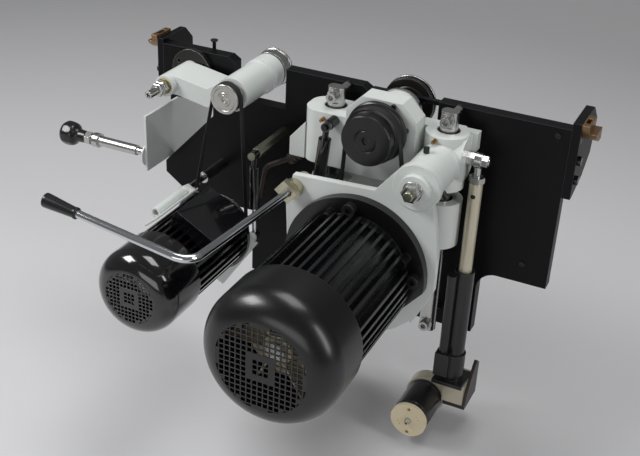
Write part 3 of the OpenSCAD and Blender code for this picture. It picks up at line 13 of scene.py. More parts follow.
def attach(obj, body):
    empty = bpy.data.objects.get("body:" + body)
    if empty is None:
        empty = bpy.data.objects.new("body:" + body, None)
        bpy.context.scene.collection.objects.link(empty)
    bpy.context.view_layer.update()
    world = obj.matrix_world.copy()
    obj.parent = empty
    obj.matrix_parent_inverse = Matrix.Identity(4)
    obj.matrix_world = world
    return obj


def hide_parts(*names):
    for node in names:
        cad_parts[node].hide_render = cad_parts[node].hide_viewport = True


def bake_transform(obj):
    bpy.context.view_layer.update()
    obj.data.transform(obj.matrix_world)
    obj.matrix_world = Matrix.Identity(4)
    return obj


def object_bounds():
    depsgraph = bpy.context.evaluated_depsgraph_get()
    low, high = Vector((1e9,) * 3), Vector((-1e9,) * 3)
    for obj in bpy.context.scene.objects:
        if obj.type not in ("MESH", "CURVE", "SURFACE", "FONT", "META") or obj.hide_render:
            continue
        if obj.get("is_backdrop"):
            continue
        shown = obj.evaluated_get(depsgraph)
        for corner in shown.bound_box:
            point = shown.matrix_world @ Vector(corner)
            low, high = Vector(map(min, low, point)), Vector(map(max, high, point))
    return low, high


MM_PER_M = 1000.0
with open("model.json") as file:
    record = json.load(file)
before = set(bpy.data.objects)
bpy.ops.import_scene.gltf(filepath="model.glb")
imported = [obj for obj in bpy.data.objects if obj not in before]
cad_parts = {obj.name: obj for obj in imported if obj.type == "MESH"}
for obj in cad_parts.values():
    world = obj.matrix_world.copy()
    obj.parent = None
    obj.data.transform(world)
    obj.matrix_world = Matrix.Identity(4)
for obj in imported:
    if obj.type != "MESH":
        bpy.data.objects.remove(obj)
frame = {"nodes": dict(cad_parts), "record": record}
nodes = frame["nodes"]
cad_low, cad_high = (np.array(v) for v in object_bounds())
print("CAD box in mm:", np.round((cad_high - cad_low) * MM_PER_M, 1))

# Layout frame of the part's drawing: X from the plate's left edge, Y back from its face, Z from its top edge
ORIGIN = np.array([387.5, 40.0, 22.0])
Y_AXIS = (0, 1, 0)


def metres(points):
    """Points of the drawing (mm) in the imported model's frame (m)."""
    return (np.asarray(points, float) - ORIGIN) / MM_PER_M


def at(x, y, z):
    """One point of the drawing (mm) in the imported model's frame (m)."""
    return metres([x, y, z])


# %% [markdown]
# ## Camera
# The photograph looks down at the unit from its front right. Straight edges in it run to two vanishing
# points, and these fix the lens and the turn of the camera; a flange of known width fixes the distance.
# The camera is set from three unit vectors: right, down and forward of the picture.

# %% Camera
RIGHT = np.array([0.90168, 0.43013, 0.04426])
DOWN = np.array([0.24322, -0.41989, -0.87438])
FORWARD = np.array([-0.35751, 0.79918, -0.48322])
SENSOR_MM, PICTURE_PX, FOCAL_PX = 36.0, 640.0, 1075.27
eye = at(1061.2, -1616.0, 678.0)
camera_data = bpy.data.cameras.new("camera")
camera_data.sensor_width = SENSOR_MM
camera_data.lens = SENSOR_MM * FOCAL_PX / PICTURE_PX
camera = bpy.data.objects.new("camera", camera_data)
turn = np.eye(4)
turn[:3, 0], turn[:3, 1], turn[:3, 2], turn[:3, 3] = RIGHT, -DOWN, -FORWARD, eye
camera.matrix_world = Matrix(turn.tolist())
bpy.context.scene.collection.objects.link(camera)
bpy.context.scene.camera = camera
print("lens", round(camera_data.lens, 2), "mm, eye", np.round(eye, 3))

# %% [markdown]
# ## Studio
# The unit hangs in the stand of its machine, so the picture shows it free over a plain ground. A pale floor
# that rises behind it in one sweep has no horizon, and soft lamps from above left, right and front draw
# long highlights along the round parts.

# %% Floor sweep
FLOOR_DROP = 0.02
SWEEP_START = 2.2
floor_z = cad_low[2] - FLOOR_DROP


def sweep(width, depth, height, radius, steps=24):
    """Profile of floor, quarter circle and wall, carried along X: rows are profile points, columns are X."""
    a = np.linspace(0, np.pi / 2, steps)
    y = np.concatenate([[-depth], radius * np.sin(a), [radius]])
    z = np.concatenate([[0], radius - radius * np.cos(a), [height]])
    x = np.linspace(-width, width, 3)
    grid = np.stack(np.broadcast_arrays(x[None, :], y[:, None], z[:, None]), -1)
    return grid.reshape(-1, 3), len(y), len(x)


points, rows, cols = sweep(width=9.0, depth=7.0, height=6.0, radius=2.5)
points = points + np.array([0.0, SWEEP_START, floor_z])
index = np.arange(rows * cols).reshape(rows, cols)
quads = np.stack([index[:-1, :-1], index[:-1, 1:], index[1:, 1:], index[1:, :-1]], -1).reshape(-1, 4)
floor_mesh = bpy.data.meshes.new("floor")
floor_mesh.from_pydata(points.tolist(), [], quads.tolist())
floor_mesh.shade_smooth()
floor = bpy.data.objects.new("floor", floor_mesh)
bpy.context.scene.collection.objects.link(floor)
floor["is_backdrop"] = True
paper = bpy.data.materials.new("paper")
paper.use_nodes = True
paper_bsdf = paper.node_tree.nodes["Principled BSDF"]
paper_bsdf.inputs["Base Color"].default_value = (0.62, 0.62, 0.63, 1)
paper_bsdf.inputs["Roughness"].default_value = 0.85
floor_mesh.materials.append(paper)

world = bpy.data.worlds.new("room")
world.use_nodes = True
world.node_tree.nodes["Background"].inputs["Color"].default_value = (0.78, 0.78, 0.79, 1)
world.node_tree.nodes["Background"].inputs["Strength"].default_value = 0.22
bpy.context.scene.world = world
bpy.context.scene.view_settings.view_transform = "Standard"

# %% Soft lamps


def softbox(name, place, aim, width, height, watts):
    """Area lamp at a place, turned so that its face looks at the aim point."""
    data = bpy.data.lights.new(name, "AREA")
    data.shape, data.size, data.size_y, data.energy = "RECTANGLE", width, height, watts
    lamp = bpy.data.objects.new(name, data)
    lamp.location = place
    lamp.rotation_euler = (Vector(aim) - Vector(place)).to_track_quat("-Z", "Y").to_euler()
    bpy.context.scene.collection.objects.link(lamp)


middle = (0.0, -0.15, -0.2)
softbox("key_left", (-1.6, -1.2, 1.5), middle, width=1.2, height=0.8, watts=44)
softbox("top", (0.2, 0.2, 2.1), middle, width=1.5, height=1.1, watts=26)
softbox("right_edge", (2.2, -0.7, 0.7), middle, width=0.5, height=1.6, watts=15)
softbox("front_low", (0.2, -2.6, 0.1), middle, width=1.8, height=0.8, watts=9)

# %% [markdown]
# ## Shared shader effects
# Every material of the unit draws on two effects: edges that catch the light, and the grain of a coat or a
# worked face with a slow drift of its tone. Each effect is one node group with named sockets, built once. The
# groups only put out masks, values and normals; the shader itself stays in each material.

# %% Helpers for node groups
MIX_A, MIX_B, MIX_RESULT = 6, 7, 2  # colour sockets of a Mix node


def new_group(name, inputs, outputs):
    """Empty shader node group. inputs are (name, socket type, default) and outputs are (name, socket type)."""
    group = bpy.data.node_groups.new(name, "ShaderNodeTree")
    for title, kind, default in inputs:
        item = group.interface.new_socket(name=title, in_out="INPUT", socket_type=kind)
        item.default_value = default
    for title, kind in outputs:
        group.interface.new_socket(name=title, in_out="OUTPUT", socket_type=kind)
    return group, group.nodes.new("NodeGroupInput"), group.nodes.new("NodeGroupOutput")


def add(tree, kind, values=None, links=None, **settings):
    """New node with settings, socket values and links from other sockets, each by name or number."""
    node = tree.nodes.new(kind)
    for key, value in settings.items():
        setattr(node, key, value)
    for key, value in (values or {}).items():
        node.inputs[key].default_value = value
    for key, source in (links or {}).items():
        tree.links.new(source, node.inputs[key])
    return node


def mathn(tree, operation, *terms, clamp=False):
    """Math node: the terms are numbers or sockets."""
    node = tree.nodes.new("ShaderNodeMath")
    node.operation, node.use_clamp = operation, clamp
    for i, v in enumerate(terms):
        if isinstance(v, (int, float)):
            node.inputs[i].default_value = v
        else:
            tree.links.new(v, node.inputs[i])
    return node.outputs[0]


# %% Soft edges: a rounded normal at every edge, and a mask of where the edges are
g, gi, go = new_group("soft_edges", [("Radius", "NodeSocketFloat", 0.001), ("Width", "NodeSocketFloat", 0.002)],
                      [("Normal", "NodeSocketVector"), ("Edge", "NodeSocketFloat")])
near = add(g, "ShaderNodeBevel", links={"Radius": gi.outputs["Radius"]}, samples=6)
wide = add(g, "ShaderNodeBevel", links={"Radius": gi.outputs["Width"]}, samples=6)
flat = add(g, "ShaderNodeNewGeometry")
dot = add(g, "ShaderNodeVectorMath", links={0: wide.outputs[0], 1: flat.outputs["Normal"]}, operation="DOT_PRODUCT")
EDGE_STARTS, EDGE_GAIN = 0.985, 7.0
edge = mathn(g, "MULTIPLY", mathn(g, "SUBTRACT", EDGE_STARTS, dot.outputs["Value"]), EDGE_GAIN, clamp=True)
g.links.new(near.outputs[0], go.inputs["Normal"])
g.links.new(edge, go.inputs["Edge"])
SOFT_EDGES = g

# %% Cast grain: orange peel of paint over a sanded casting, as a height and a slow cloud of tone
GRAIN_SCALE = 260.0
g, gi, go = new_group("cast_grain", [("Scale", "NodeSocketFloat", GRAIN_SCALE)],
                      [("Height", "NodeSocketFloat"), ("Cloud", "NodeSocketFloat")])
where = add(g, "ShaderNodeTexCoord").outputs["Object"]
peel = add(g, "ShaderNodeTexNoise", {"Detail": 3.0, "Roughness": 0.55},
           {"Vector": where, "Scale": gi.outputs["Scale"]})
slow = add(g, "ShaderNodeTexNoise", {"Scale": 11.0, "Detail": 4.0, "Roughness": 0.6}, {"Vector": where})
g.links.new(peel.outputs["Fac"], go.inputs["Height"])
g.links.new(slow.outputs["Fac"], go.inputs["Cloud"])
CAST_GRAIN = g
print("node groups", [x.name for x in bpy.data.node_groups])

# %% [markdown]
# ## Finishes
# One function lays out each finish the same way: a base colour that drifts a little with a slow cloud and
# turns lighter at the edges as a painted highlight with some wear, a roughness that varies with the grain,
# and a bump from the grain on top of the softened edge normal. Glossy paint gets a clear coat, and bare metal
# is metallic.

# %% One finish


def grey(hexa, a=1.0):
    """Hex colour to linear RGBA: each channel through the sRGB curve."""
    c = np.array([int(hexa[i:i + 2], 16) / 255 for i in (1, 3, 5)])
    lin = np.where(c <= 0.04045, c / 12.92, ((c + 0.055) / 1.055) ** 2.4)
    return (*lin.tolist(), a)


BUMP_DEPTH = 0.0004


def finish(name, base, cloud, rough, metal=0.0, coat=0.0, coat_rough=0.1, edge=None, edge_amount=0.6,
           radius=0.001, width=0.002, grain=GRAIN_SCALE, bump=0.1, ior=1.45, rough_span=0.12):
    """Material from the shared groups. Colour goes from base to cloud with the slow tone, then to the edge
    colour by the edge mask, a painted highlight with some wear; roughness spans rough_span about rough with
    the grain; the normal is the softened edge with the grain as bump."""
    mat = bpy.data.materials.new(name)
    mat.use_nodes = True
    t = mat.node_tree
    bsdf = t.nodes["Principled BSDF"]
    soft = add(t, "ShaderNodeGroup", node_tree=SOFT_EDGES, values={"Radius": radius, "Width": width})
    grit = add(t, "ShaderNodeGroup", node_tree=CAST_GRAIN, values={"Scale": grain})
    height = grit.outputs["Height"]
    tone = add(t, "ShaderNodeMix", {MIX_A: grey(base), MIX_B: grey(cloud)}, {0: grit.outputs["Cloud"]},
               data_type="RGBA")
    # The edge colour is mixed in by the edge mask: a painted highlight along the edges, with some wear.
    share = mathn(t, "MULTIPLY", soft.outputs["Edge"], edge_amount if edge else 0.0)
    edge_highlight_and_wear = add(t, "ShaderNodeMix", {MIX_B: grey(edge or base)}, {0: share, MIX_A: tone.outputs[MIX_RESULT]},
               data_type="RGBA")
    t.links.new(edge_highlight_and_wear.outputs[MIX_RESULT], bsdf.inputs["Base Color"])
    spread = mathn(t, "MULTIPLY_ADD", height, rough_span, rough - rough_span / 2)
    t.links.new(spread, bsdf.inputs["Roughness"])
    dent = add(t, "ShaderNodeBump", {"Strength": bump, "Distance": BUMP_DEPTH},
               {"Height": height, "Normal": soft.outputs["Normal"]})
    t.links.new(dent.outputs[0], bsdf.inputs["Normal"])
    bsdf.inputs["Metallic"].default_value = metal
    bsdf.inputs["IOR"].default_value = ior
    bsdf.inputs["Coat Weight"].default_value = coat
    bsdf.inputs["Coat Roughness"].default_value = coat_rough
    return mat


# %% The finishes of this unit
ZINC = {"base": "#b3b4b2", "cloud": "#c9c9c5", "rough": 0.26, "metal": 1.0, "radius": 0.0006, "grain": 300.0,
        "bump": 0.015}
# The edge colours, lighter than their bases, are a painted highlight along the edges, with some wear.
FINISH = {
    "black_coat": finish("black_coat", "#060607", "#09090b", 0.40, edge="#4a505c", edge_amount=0.6,
                         radius=0.0012, width=0.0016, grain=700.0, bump=0.10, ior=1.26, rough_span=0.10),
    "white_coat": finish("white_coat", "#c6cbc8", "#d6dad7", 0.34, coat=0.35, coat_rough=0.12, edge="#f3f5f4",
                         edge_amount=0.4, radius=0.0022, width=0.002, grain=240.0, bump=0.22),
    "gloss_black": finish("gloss_black", "#08080a", "#0c0c0f", 0.16, coat=0.9, coat_rough=0.05, edge="#26282c",
                          edge_amount=0.3, radius=0.0014, grain=160.0, bump=0.05, rough_span=0.04),
    "satin_black": finish("satin_black", "#060607", "#0a0a0b", 0.32, coat=0.25, coat_rough=0.18, edge="#2c2d30",
                          edge_amount=0.35, radius=0.0014, grain=420.0, bump=0.12),
    "cast_black": finish("cast_black", "#070708", "#101012", 0.24, coat=0.4, coat_rough=0.14, edge="#3c3f44",
                         edge_amount=0.5, radius=0.0012, grain=210.0, bump=1.0, rough_span=0.20),
    "dark_steel": finish("dark_steel", "#141415", "#1d1d1f", 0.30, edge="#55575b", edge_amount=0.35, grain=500.0,
                         bump=0.06, coat=0.2),
    "brown_steel": finish("brown_steel", "#2c2420", "#3f3732", 0.42, metal=0.3, edge="#7d7670", edge_amount=0.4,
                          grain=300.0, bump=0.1),
    "zinc": finish("zinc", **ZINC),
    "yellow_zinc": finish("yellow_zinc", "#b7b198", "#cdc8b3", 0.34, metal=1.0, radius=0.0008, grain=300.0, bump=0.02),
    "olive_zinc": finish("olive_zinc", "#a7a893", "#bdbeab", 0.30, metal=1.0, radius=0.0006, grain=300.0, bump=0.02),
    "chrome": finish("chrome", "#c9ccd0", "#dcdfe2", 0.12, metal=1.0, radius=0.0005, grain=300.0, bump=0.02,
                     rough_span=0.05),
    "ground_steel": finish("ground_steel", "#b4b4b1", "#cbcbc7", 0.24, metal=1.0, radius=0.0006, grain=260.0,
                           bump=0.012, rough_span=0.08),
    "gunmetal": finish("gunmetal", "#2b2a28", "#3a3936", 0.32, metal=0.7, edge="#b9bab8", edge_amount=0.8,
                       radius=0.0006, width=0.0012, grain=400.0, bump=0.06),
    "bronze": finish("bronze", "#7a5f43", "#9a7c57", 0.36, metal=0.85, edge="#c3a67e", edge_amount=0.5,
                     radius=0.0010, grain=260.0, bump=0.2),
    "brass": finish("brass", "#7d6c35", "#a08c4c", 0.32, metal=1.0, radius=0.0004, grain=400.0, bump=0.06),
    "copper": finish("copper", "#6a3d20", "#86502c", 0.45, metal=0.6, grain=300.0, bump=0.3),
    "aluminium": finish("aluminium", "#aeaca6", "#c6c4be", 0.30, metal=1.0, radius=0.0006, grain=260.0, bump=0.015),
    "rubber": finish("rubber", "#1a1a1b", "#232324", 0.62, edge="#3a3a3b", edge_amount=0.3, grain=500.0, bump=0.2),
    "black_plastic": finish("black_plastic", "#131315", "#1b1b1e", 0.26, coat=0.2, radius=0.0012, grain=350.0,
                            bump=0.05),
    "cream_coat": finish("cream_coat", "#b9b19c", "#d0c9b4", 0.30, metal=0.35, coat=0.3, radius=0.0012,
                         edge="#e2dcc9", grain=260.0, bump=0.15),
    "cream_plastic": finish("cream_plastic", "#cdbf9f", "#ded2b6", 0.42, radius=0.0010, grain=300.0, bump=0.08),
}
slot_of = {s["node"]: s["material_slot"] for s in frame["record"]["subparts"]}
for name, obj in nodes.items():
    obj.data.materials.clear()
    obj.data.materials.append(FINISH[slot_of[name]])
nodes["motor_body"].data.materials[0] = FINISH["cast_black"]
print("finished", len(nodes), "nodes with", len(FINISH), "finishes")

# %% [markdown]
# ## Two looks in one material
# Two nodes hold screws of two kinds, set by place: the carriage's fittings are black steel apart from two brass
# nipples, and the frame's screws are plated at the columns' heads and black at the plate's face, which is painted
# shade of the dark holes they sit in. Each gets one material whose colour and metal change over by a mask of the
# point's place in the object.

# %% Screws, nipples and plated heads
NIPPLE_LINES = ((377.0, -33.0), (575.4, -27.0))
NIPPLE_REACH, NIPPLE_FRONT, PLATED_BEFORE = 0.0045, -118.0, -9.0


def two_looks(mat, colour, metal, inside):
    """Second look of a material where a mask is 1: its colour and metal take over there."""
    tree = mat.node_tree
    bsdf = tree.nodes["Principled BSDF"]
    first = bsdf.inputs["Base Color"].links[0].from_socket
    mixed = add(tree, "ShaderNodeMix", {MIX_B: grey(colour)}, {0: inside, MIX_A: first}, data_type="RGBA")
    tree.links.new(mixed.outputs[MIX_RESULT], bsdf.inputs["Base Color"])
    first_metal = bsdf.inputs["Metallic"].default_value
    total = mathn(tree, "ADD", mathn(tree, "MULTIPLY", inside, metal - first_metal), first_metal)
    tree.links.new(total, bsdf.inputs["Metallic"])


def object_place(mat):
    """Sockets X, Y and Z of the point in the object's own metres."""
    where = add(mat.node_tree, "ShaderNodeTexCoord").outputs["Object"]
    return add(mat.node_tree, "ShaderNodeSeparateXYZ", links={0: where}).outputs


def behind(mat, y):
    """Mask of the points further back than y (mm of the drawing)."""
    return mathn(mat.node_tree, "GREATER_THAN", object_place(mat)[1], float(at(0.0, y, 0.0)[1]))


def near_lines(mat, lines, reach):
    """Mask of the points within reach (m) of lines along Y; each line is its (x, z) in mm of the drawing."""
    tree, place, near = mat.node_tree, object_place(mat), 0.0
    for x, z in lines:
        line = at(x, 0.0, z)
        away_x = mathn(tree, "SUBTRACT", place[0], float(line[0]))
        away_z = mathn(tree, "SUBTRACT", place[2], float(line[2]))
        far = mathn(tree, "ADD", mathn(tree, "MULTIPLY", away_x, away_x), mathn(tree, "MULTIPLY", away_z, away_z))
        near = mathn(tree, "ADD", mathn(tree, "LESS_THAN", far, reach ** 2), near, clamp=True)
    return near


fittings = finish("black_screws", "#0c0c0d", "#141415", 0.30, coat=0.2, radius=0.0004, grain=400.0, bump=0.05)
nipples = mathn(fittings.node_tree, "MULTIPLY", behind(fittings, NIPPLE_FRONT),
                near_lines(fittings, NIPPLE_LINES, NIPPLE_REACH))
two_looks(fittings, "#a07a3c", 1.0, nipples)
nodes["carriage_fittings"].data.materials[0] = fittings
fixings = finish("plated_and_shaded_screws", **ZINC)
# Black at the plate's face: painted shade of the dark holes the frame's screws sit in.
two_looks(fixings, "#0b0b0c", 0.0, behind(fixings, PLATED_BEFORE))
nodes["frame_fixings"].data.materials[0] = fixings

# %% [markdown]
# ## Shapes from formulas
# Most parts of a machine are either turned or drawn out along a path. Both are one grid of points: rows run
# along the profile or path, columns run round it. A lathe makes the first kind by moving a tool along the
# profile, and a bender makes the second by rolling a bar round a former, so the grid follows the way the real
# part is made.

# %% Grid to mesh
SHARP_DEGREES = 34


def skin(name, grid, body, slot, replaced=(), closed_rows=False):
    """Closed mesh from a grid (rows, columns, 3) in mm: columns wrap round, and rows wrap too for a ring.
    Otherwise both end rows are closed by a fan round their mean point. A piece without a body is left unattached."""
    rows, cols = grid.shape[:2]
    points = grid.reshape(-1, 3)
    idx = np.arange(rows * cols).reshape(rows, cols)
    here = idx if closed_rows else idx[:-1]
    up = np.roll(idx, -1, 0) if closed_rows else idx[1:]
    quads = np.stack([here, np.roll(here, -1, 1), np.roll(up, -1, 1), up], -1).reshape(-1, 4)
    faces = quads.tolist()
    if not closed_rows:
        points = np.vstack([points, grid[0].mean(0), grid[-1].mean(0)])
        n = rows * cols
        first = np.stack([np.roll(idx[0], -1), idx[0], np.full(cols, n)], -1)
        last = np.stack([idx[-1], np.roll(idx[-1], -1), np.full(cols, n + 1)], -1)
        faces = faces + first.tolist() + last.tolist()
    mesh = bpy.data.meshes.new(name)
    mesh.from_pydata(metres(points).tolist(), [], faces)
    bm = bmesh.new()
    bm.from_mesh(mesh)
    bmesh.ops.recalc_face_normals(bm, faces=bm.faces)
    bm.to_mesh(mesh)
    bm.free()
    mesh.shade_smooth()
    mesh.set_sharp_from_angle(angle=math.radians(SHARP_DEGREES))
    obj = bpy.data.objects.new(name, mesh)
    bpy.context.scene.collection.objects.link(obj)
    mesh.materials.append(FINISH[slot])
    if body:
        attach(obj, body)
    if replaced:
        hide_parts(*replaced)
    print(name, len(points), "points,", len(faces), "faces")
    return obj


def rounded(corners, radius, steps=4):
    """Profile with each inner corner turned into a short curve: the two points at radius from the corner and
    a quadratic curve between them, never longer than 0.45 of a side."""
    p = np.asarray(corners, float)
    side = np.linalg.norm(np.diff(p, axis=0), axis=1)
    reach = np.minimum(radius, 0.45 * np.minimum(side[:-1], side[1:]))[:, None]
    back = (p[:-2] - p[1:-1]) / side[:-1, None]
    ahead = (p[2:] - p[1:-1]) / side[1:, None]
    a, c = p[1:-1] + back * reach, p[1:-1] + ahead * reach
    t = np.linspace(0, 1, steps + 1)[None, :, None]
    curve = (1 - t) ** 2 * a[:, None] + 2 * t * (1 - t) * p[1:-1][:, None] + t ** 2 * c[:, None]
    return np.vstack([p[:1], curve.reshape(-1, 2), p[-1:]])


def ring_of(corners, radius, steps=4):
    """Rounded profile of a ring: it comes back to its first corner, and the repeated point is left off."""
    return rounded([*corners, corners[0]], radius, steps)[:-1]


def turned(name, start, axis, profile, body, slot, replaced=(), sides=96, flutes=None, closed_rows=False):
    """Surface of revolution: profile rows are (radius, way along the axis); flutes(angle, way) scales the
    radius round the axis, as a grip's hollows do."""
    axis = np.asarray(axis, float) / np.linalg.norm(axis)
    u = np.cross(axis, [0.0, 0.0, 1.0] if abs(axis[2]) < 0.9 else [1.0, 0.0, 0.0])
    u = u / np.linalg.norm(u)
    v = np.cross(axis, u)
    angle = np.arange(sides) * 2 * np.pi / sides
    r, s = np.asarray(profile, float).T
    scale = np.ones((len(r), sides)) if flutes is None else flutes(angle[None, :], s[:, None])
    ring = np.cos(angle)[:, None] * u + np.sin(angle)[:, None] * v
    grid = np.asarray(start, float) + s[:, None, None] * axis + (r[:, None] * scale)[..., None] * ring[None]
    return skin(name, grid, body, slot, replaced, closed_rows)


def drawn(name, corners, bend, radius, body, slot, replaced=(), sides=32, steps=20):
    """Round bar along a path of three points: straight, a circle arc of the bend radius, straight. The arc's
    centre lies on the inside, at the bend radius over the cosine of half the turn from the corner."""
    a, b, c = (np.asarray(p, float) for p in corners)
    d1, d2 = (b - a) / np.linalg.norm(b - a), (c - b) / np.linalg.norm(c - b)
    turn = math.acos(float(np.dot(d1, d2)))
    reach = bend * math.tan(turn / 2)
    inward = (d2 - d1) / np.linalg.norm(d2 - d1)
    centre = b + inward * bend / math.cos(turn / 2)
    t = np.linspace(0, turn, steps)[:, None]
    from_centre = -(d2 - d1 * math.cos(turn)) / math.sin(turn)
    arc = centre + bend * (from_centre * np.cos(t) + d1 * np.sin(t))
    way = np.vstack([a, arc, c])
    along = np.vstack([d1, d1 * np.cos(t) - from_centre * np.sin(t), d2])
    flat = np.cross(d1, d2)
    flat = flat / np.linalg.norm(flat)
    across = np.cross(along, flat)
    angle = np.arange(sides) * 2 * np.pi / sides
    ring = np.cos(angle)[None, :, None] * flat + np.sin(angle)[None, :, None] * across[:, None]
    return skin(name, way[:, None] + radius * ring, body, slot, replaced)


# %% [markdown]
# ## Belts
# Both drives are ribbed belts, moulded as a long sleeve and cut to width. Their path is two arcs joined by the
# common tangents of the pulleys, and the cross-section has a flat back and small wedges inside. The main belt is
# one closed piece without a body. Two joints lie between the ends of the scoring belt, so it is cut half way
# along its straights into two pieces without a body.

# %% Ribbed belts
ARC_ROWS, STRAIGHT_ROWS = 44, 25
FIRST_MIDDLE = ARC_ROWS + STRAIGHT_ROWS // 2
SECOND_MIDDLE = FIRST_MIDDLE + ARC_ROWS + STRAIGHT_ROWS
RIB_SHARE, EDGE_CUT, BACK_SHARE = 0.42, 0.4, 0.7


def belt_grid(c1, r1, c2, r2, y, width, thick, ribs):
    """Grid of a closed ribbed belt: base line from both arcs and tangents, times a closed rib profile. Its rows
    are arc, straight, arc, straight, so FIRST_MIDDLE and SECOND_MIDDLE are half way along the straights."""
    c1, c2 = np.asarray(c1, float), np.asarray(c2, float)
    d = c2 - c1
    dist, heading = np.hypot(*d), math.atan2(d[1], d[0])
    wrap = math.acos((r1 - r2) / dist)
    a1 = np.linspace(heading + wrap, heading + 2 * np.pi - wrap, ARC_ROWS)
    a2 = np.linspace(heading - wrap, heading + wrap, ARC_ROWS)
    n1, n2 = (np.stack([np.cos(a), np.sin(a)], -1) for a in (a1, a2))
    p1, p2 = c1 + r1 * n1, c2 + r2 * n2
    t = np.linspace(0, 1, STRAIGHT_ROWS + 2)[1:-1, None]
    base = np.vstack([p1, p1[-1] + (p2[0] - p1[-1]) * t, p2, p2[-1] + (p1[0] - p2[-1]) * t])
    normal = np.vstack([n1, np.repeat(n1[-1:], len(t), 0), n2, np.repeat(n2[-1:], len(t), 0)])
    k = np.arange(2 * ribs + 1)
    across = (k / (2 * ribs) - 0.5) * (width - EDGE_CUT)
    inner = np.stack([np.where(k % 2 == 0, 0.0, RIB_SHARE * thick), across], -1)
    side_in, side_out, half = BACK_SHARE * thick, thick, width / 2
    outer = np.array([[side_in, half], [side_out, half - EDGE_CUT], [side_out, 0.0],
                      [side_out, EDGE_CUT - half], [side_in, -half]])
    section = np.vstack([inner, outer])
    side = np.broadcast_to(y + section[:, 1], (len(base), len(section)))
    xz = base[:, None, :] + normal[:, None, :] * section[None, :, :1]
    return np.stack([xz[..., 0], side, xz[..., 1]], -1)


# Centres of the four pulleys, as (x, z) in mm of the drawing
ARBOR, MOTOR = (481.7, -25.0), (492.5, -230.5)
SPINDLE, SCORER = (205.0, -24.0), (188.0, -277.0)
grid = belt_grid(ARBOR, 45.3, MOTOR, 65.3, y=-130.0, width=13.6, thick=2.4, ribs=5)
main_belt = skin("drive_belt_ribbed", grid, None, "rubber", ("drive_belt",), closed_rows=True)
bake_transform(main_belt)
grid = belt_grid(SPINDLE, 26.3, SCORER, 57.3, y=-118.0, width=11.6, thick=1.5, ribs=5)
upper_rows = np.vstack([grid[SECOND_MIDDLE:], grid[:FIRST_MIDDLE + 1]])
upper = skin("scoring_belt_upper", upper_rows, None, "rubber", ("scoring_belt",))
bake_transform(upper)
lower_rows = grid[FIRST_MIDDLE:SECOND_MIDDLE + 1]
lower = skin("scoring_belt_lower", lower_rows, None, "rubber", ("scoring_belt",))
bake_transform(lower)

# %% [markdown]
# ## Pulleys
# The arbor pulley is turned from a black bar: a long hub in front of the belt, with a shallow groove and a screw
# in its face, and a wider shoulder behind the belt. The small pulley of the scoring spindle is aluminium with a
# clamping screw.

# %% Turned pulleys
arbor_line, spindle_line = (ARBOR[0], 0.0, ARBOR[1]), (SPINDLE[0], 0.0, SPINDLE[1])
arbor_profile = rounded([
    (15.0, -109.0), (31.0, -109.0), (47.0, -111.8), (51.8, -112.6), (51.8, -118.6), (49.6, -120.6), (44.8, -122.0),
    (44.8, -138.0), (47.8, -138.6), (47.8, -139.8), (43.0, -140.6), (43.0, -160.2), (41.6, -161.8), (19.2, -161.8),
    (18.9, -160.7), (17.6, -160.7), (17.3, -161.6), (6.4, -161.6), (6.0, -157.4), (0.02, -157.4)], 0.45)
turned("arbor_pulley_turned", arbor_line, Y_AXIS, arbor_profile, "arbor", "satin_black",
       ("arbor_pulley",), sides=128)
spindle_profile = rounded([
    (10.1, -108.2), (26.8, -108.2), (26.8, -111.0), (25.9, -111.2), (25.9, -124.8), (26.8, -125.0), (26.8, -128.9),
    (25.8, -129.9), (21.0, -129.9), (20.2, -129.1), (12.4, -129.1), (11.8, -130.0), (8.2, -130.0), (7.8, -130.9),
    (4.4, -130.9), (4.0, -128.2), (0.02, -128.2)], 0.5)
turned("scoring_pulley_turned", spindle_line, Y_AXIS, spindle_profile, "scoring_arbor", "aluminium",
       ("scoring_pulley",))

# %% [markdown]
# ## Lever
# The belt lever is one chromed bar, bent cold round a former and pushed into a moulded grip. Its grip widens
# to the end and has a rounded cap, so that a greasy hand can still pull it.

# %% Lever rod and grip
GRIP_SLOPE, ARM_LENGTH, GRIP_SETBACK = 8.25, 197.0, 2.0
slope = math.radians(GRIP_SLOPE)
grip_way = np.array([-math.cos(slope), 0.0, math.sin(slope)])
rod_start = np.array([374.0, -205.0, -120.5])
rod_bend = np.array([374.0, -488.0, -120.5]) + grip_way * 19.0
rod_end = rod_bend + grip_way * ARM_LENGTH
drawn("lever_rod_bent", (rod_start, rod_bend, rod_end), 30.0, 6.5, "lever", "chrome", ("lever_rod",))
grip_profile = rounded([(6.6, 0.2), (9.3, 0.2), (9.3, 4.6), (8.5, 5.4), (8.9, 12.0), (11.7, 55.0), (11.6, 58.4),
                        (9.0, 59.8), (0.02, 59.9)], 1.6, 6)
grip_start = rod_bend + grip_way * (ARM_LENGTH - GRIP_SETBACK)
turned("lever_grip_moulded", grip_start, grip_way, grip_profile, "lever", "black_plastic", ("lever_grip",), sides=72)

# %% [markdown]
# ## Knob
# The adjuster ends in a moulded knob with eight shallow hollows. The hollows are a cosine round the axis that
# fades out towards both ends of the rim, which is how the mould's parting keeps it free to pull.

# %% Knob with hollows
HOLLOWS, HOLLOW_DEPTH, RIM_START, RIM_LENGTH = 8, 0.05, 2.0, 28.0


def hollows(angle, way):
    """Scale of the radius: 1 less up to 5 % in each hollow, deepest half way along the rim."""
    fade = np.clip(np.sin(np.clip((way - RIM_START) / RIM_LENGTH, 0, 1) * np.pi), 0, 1)
    return 1 - HOLLOW_DEPTH * fade * (0.5 + 0.5 * np.cos(HOLLOWS * angle))


knob_profile = rounded([(0.02, 0.1), (10.0, 0.1), (18.5, 1.6), (23.6, 8.0), (23.9, 18.0), (22.0, 28.0), (15.6, 34.0),
                        (12.8, 38.0), (12.0, 50.0), (11.8, 56.0), (0.02, 56.0)], 3.0, 6)
turned("knob_moulded", (-199.0, -57.0, -203.0), (1, 0, 0), knob_profile, "knob", "black_plastic", ("knob_grip",),
       sides=96, flutes=hollows)

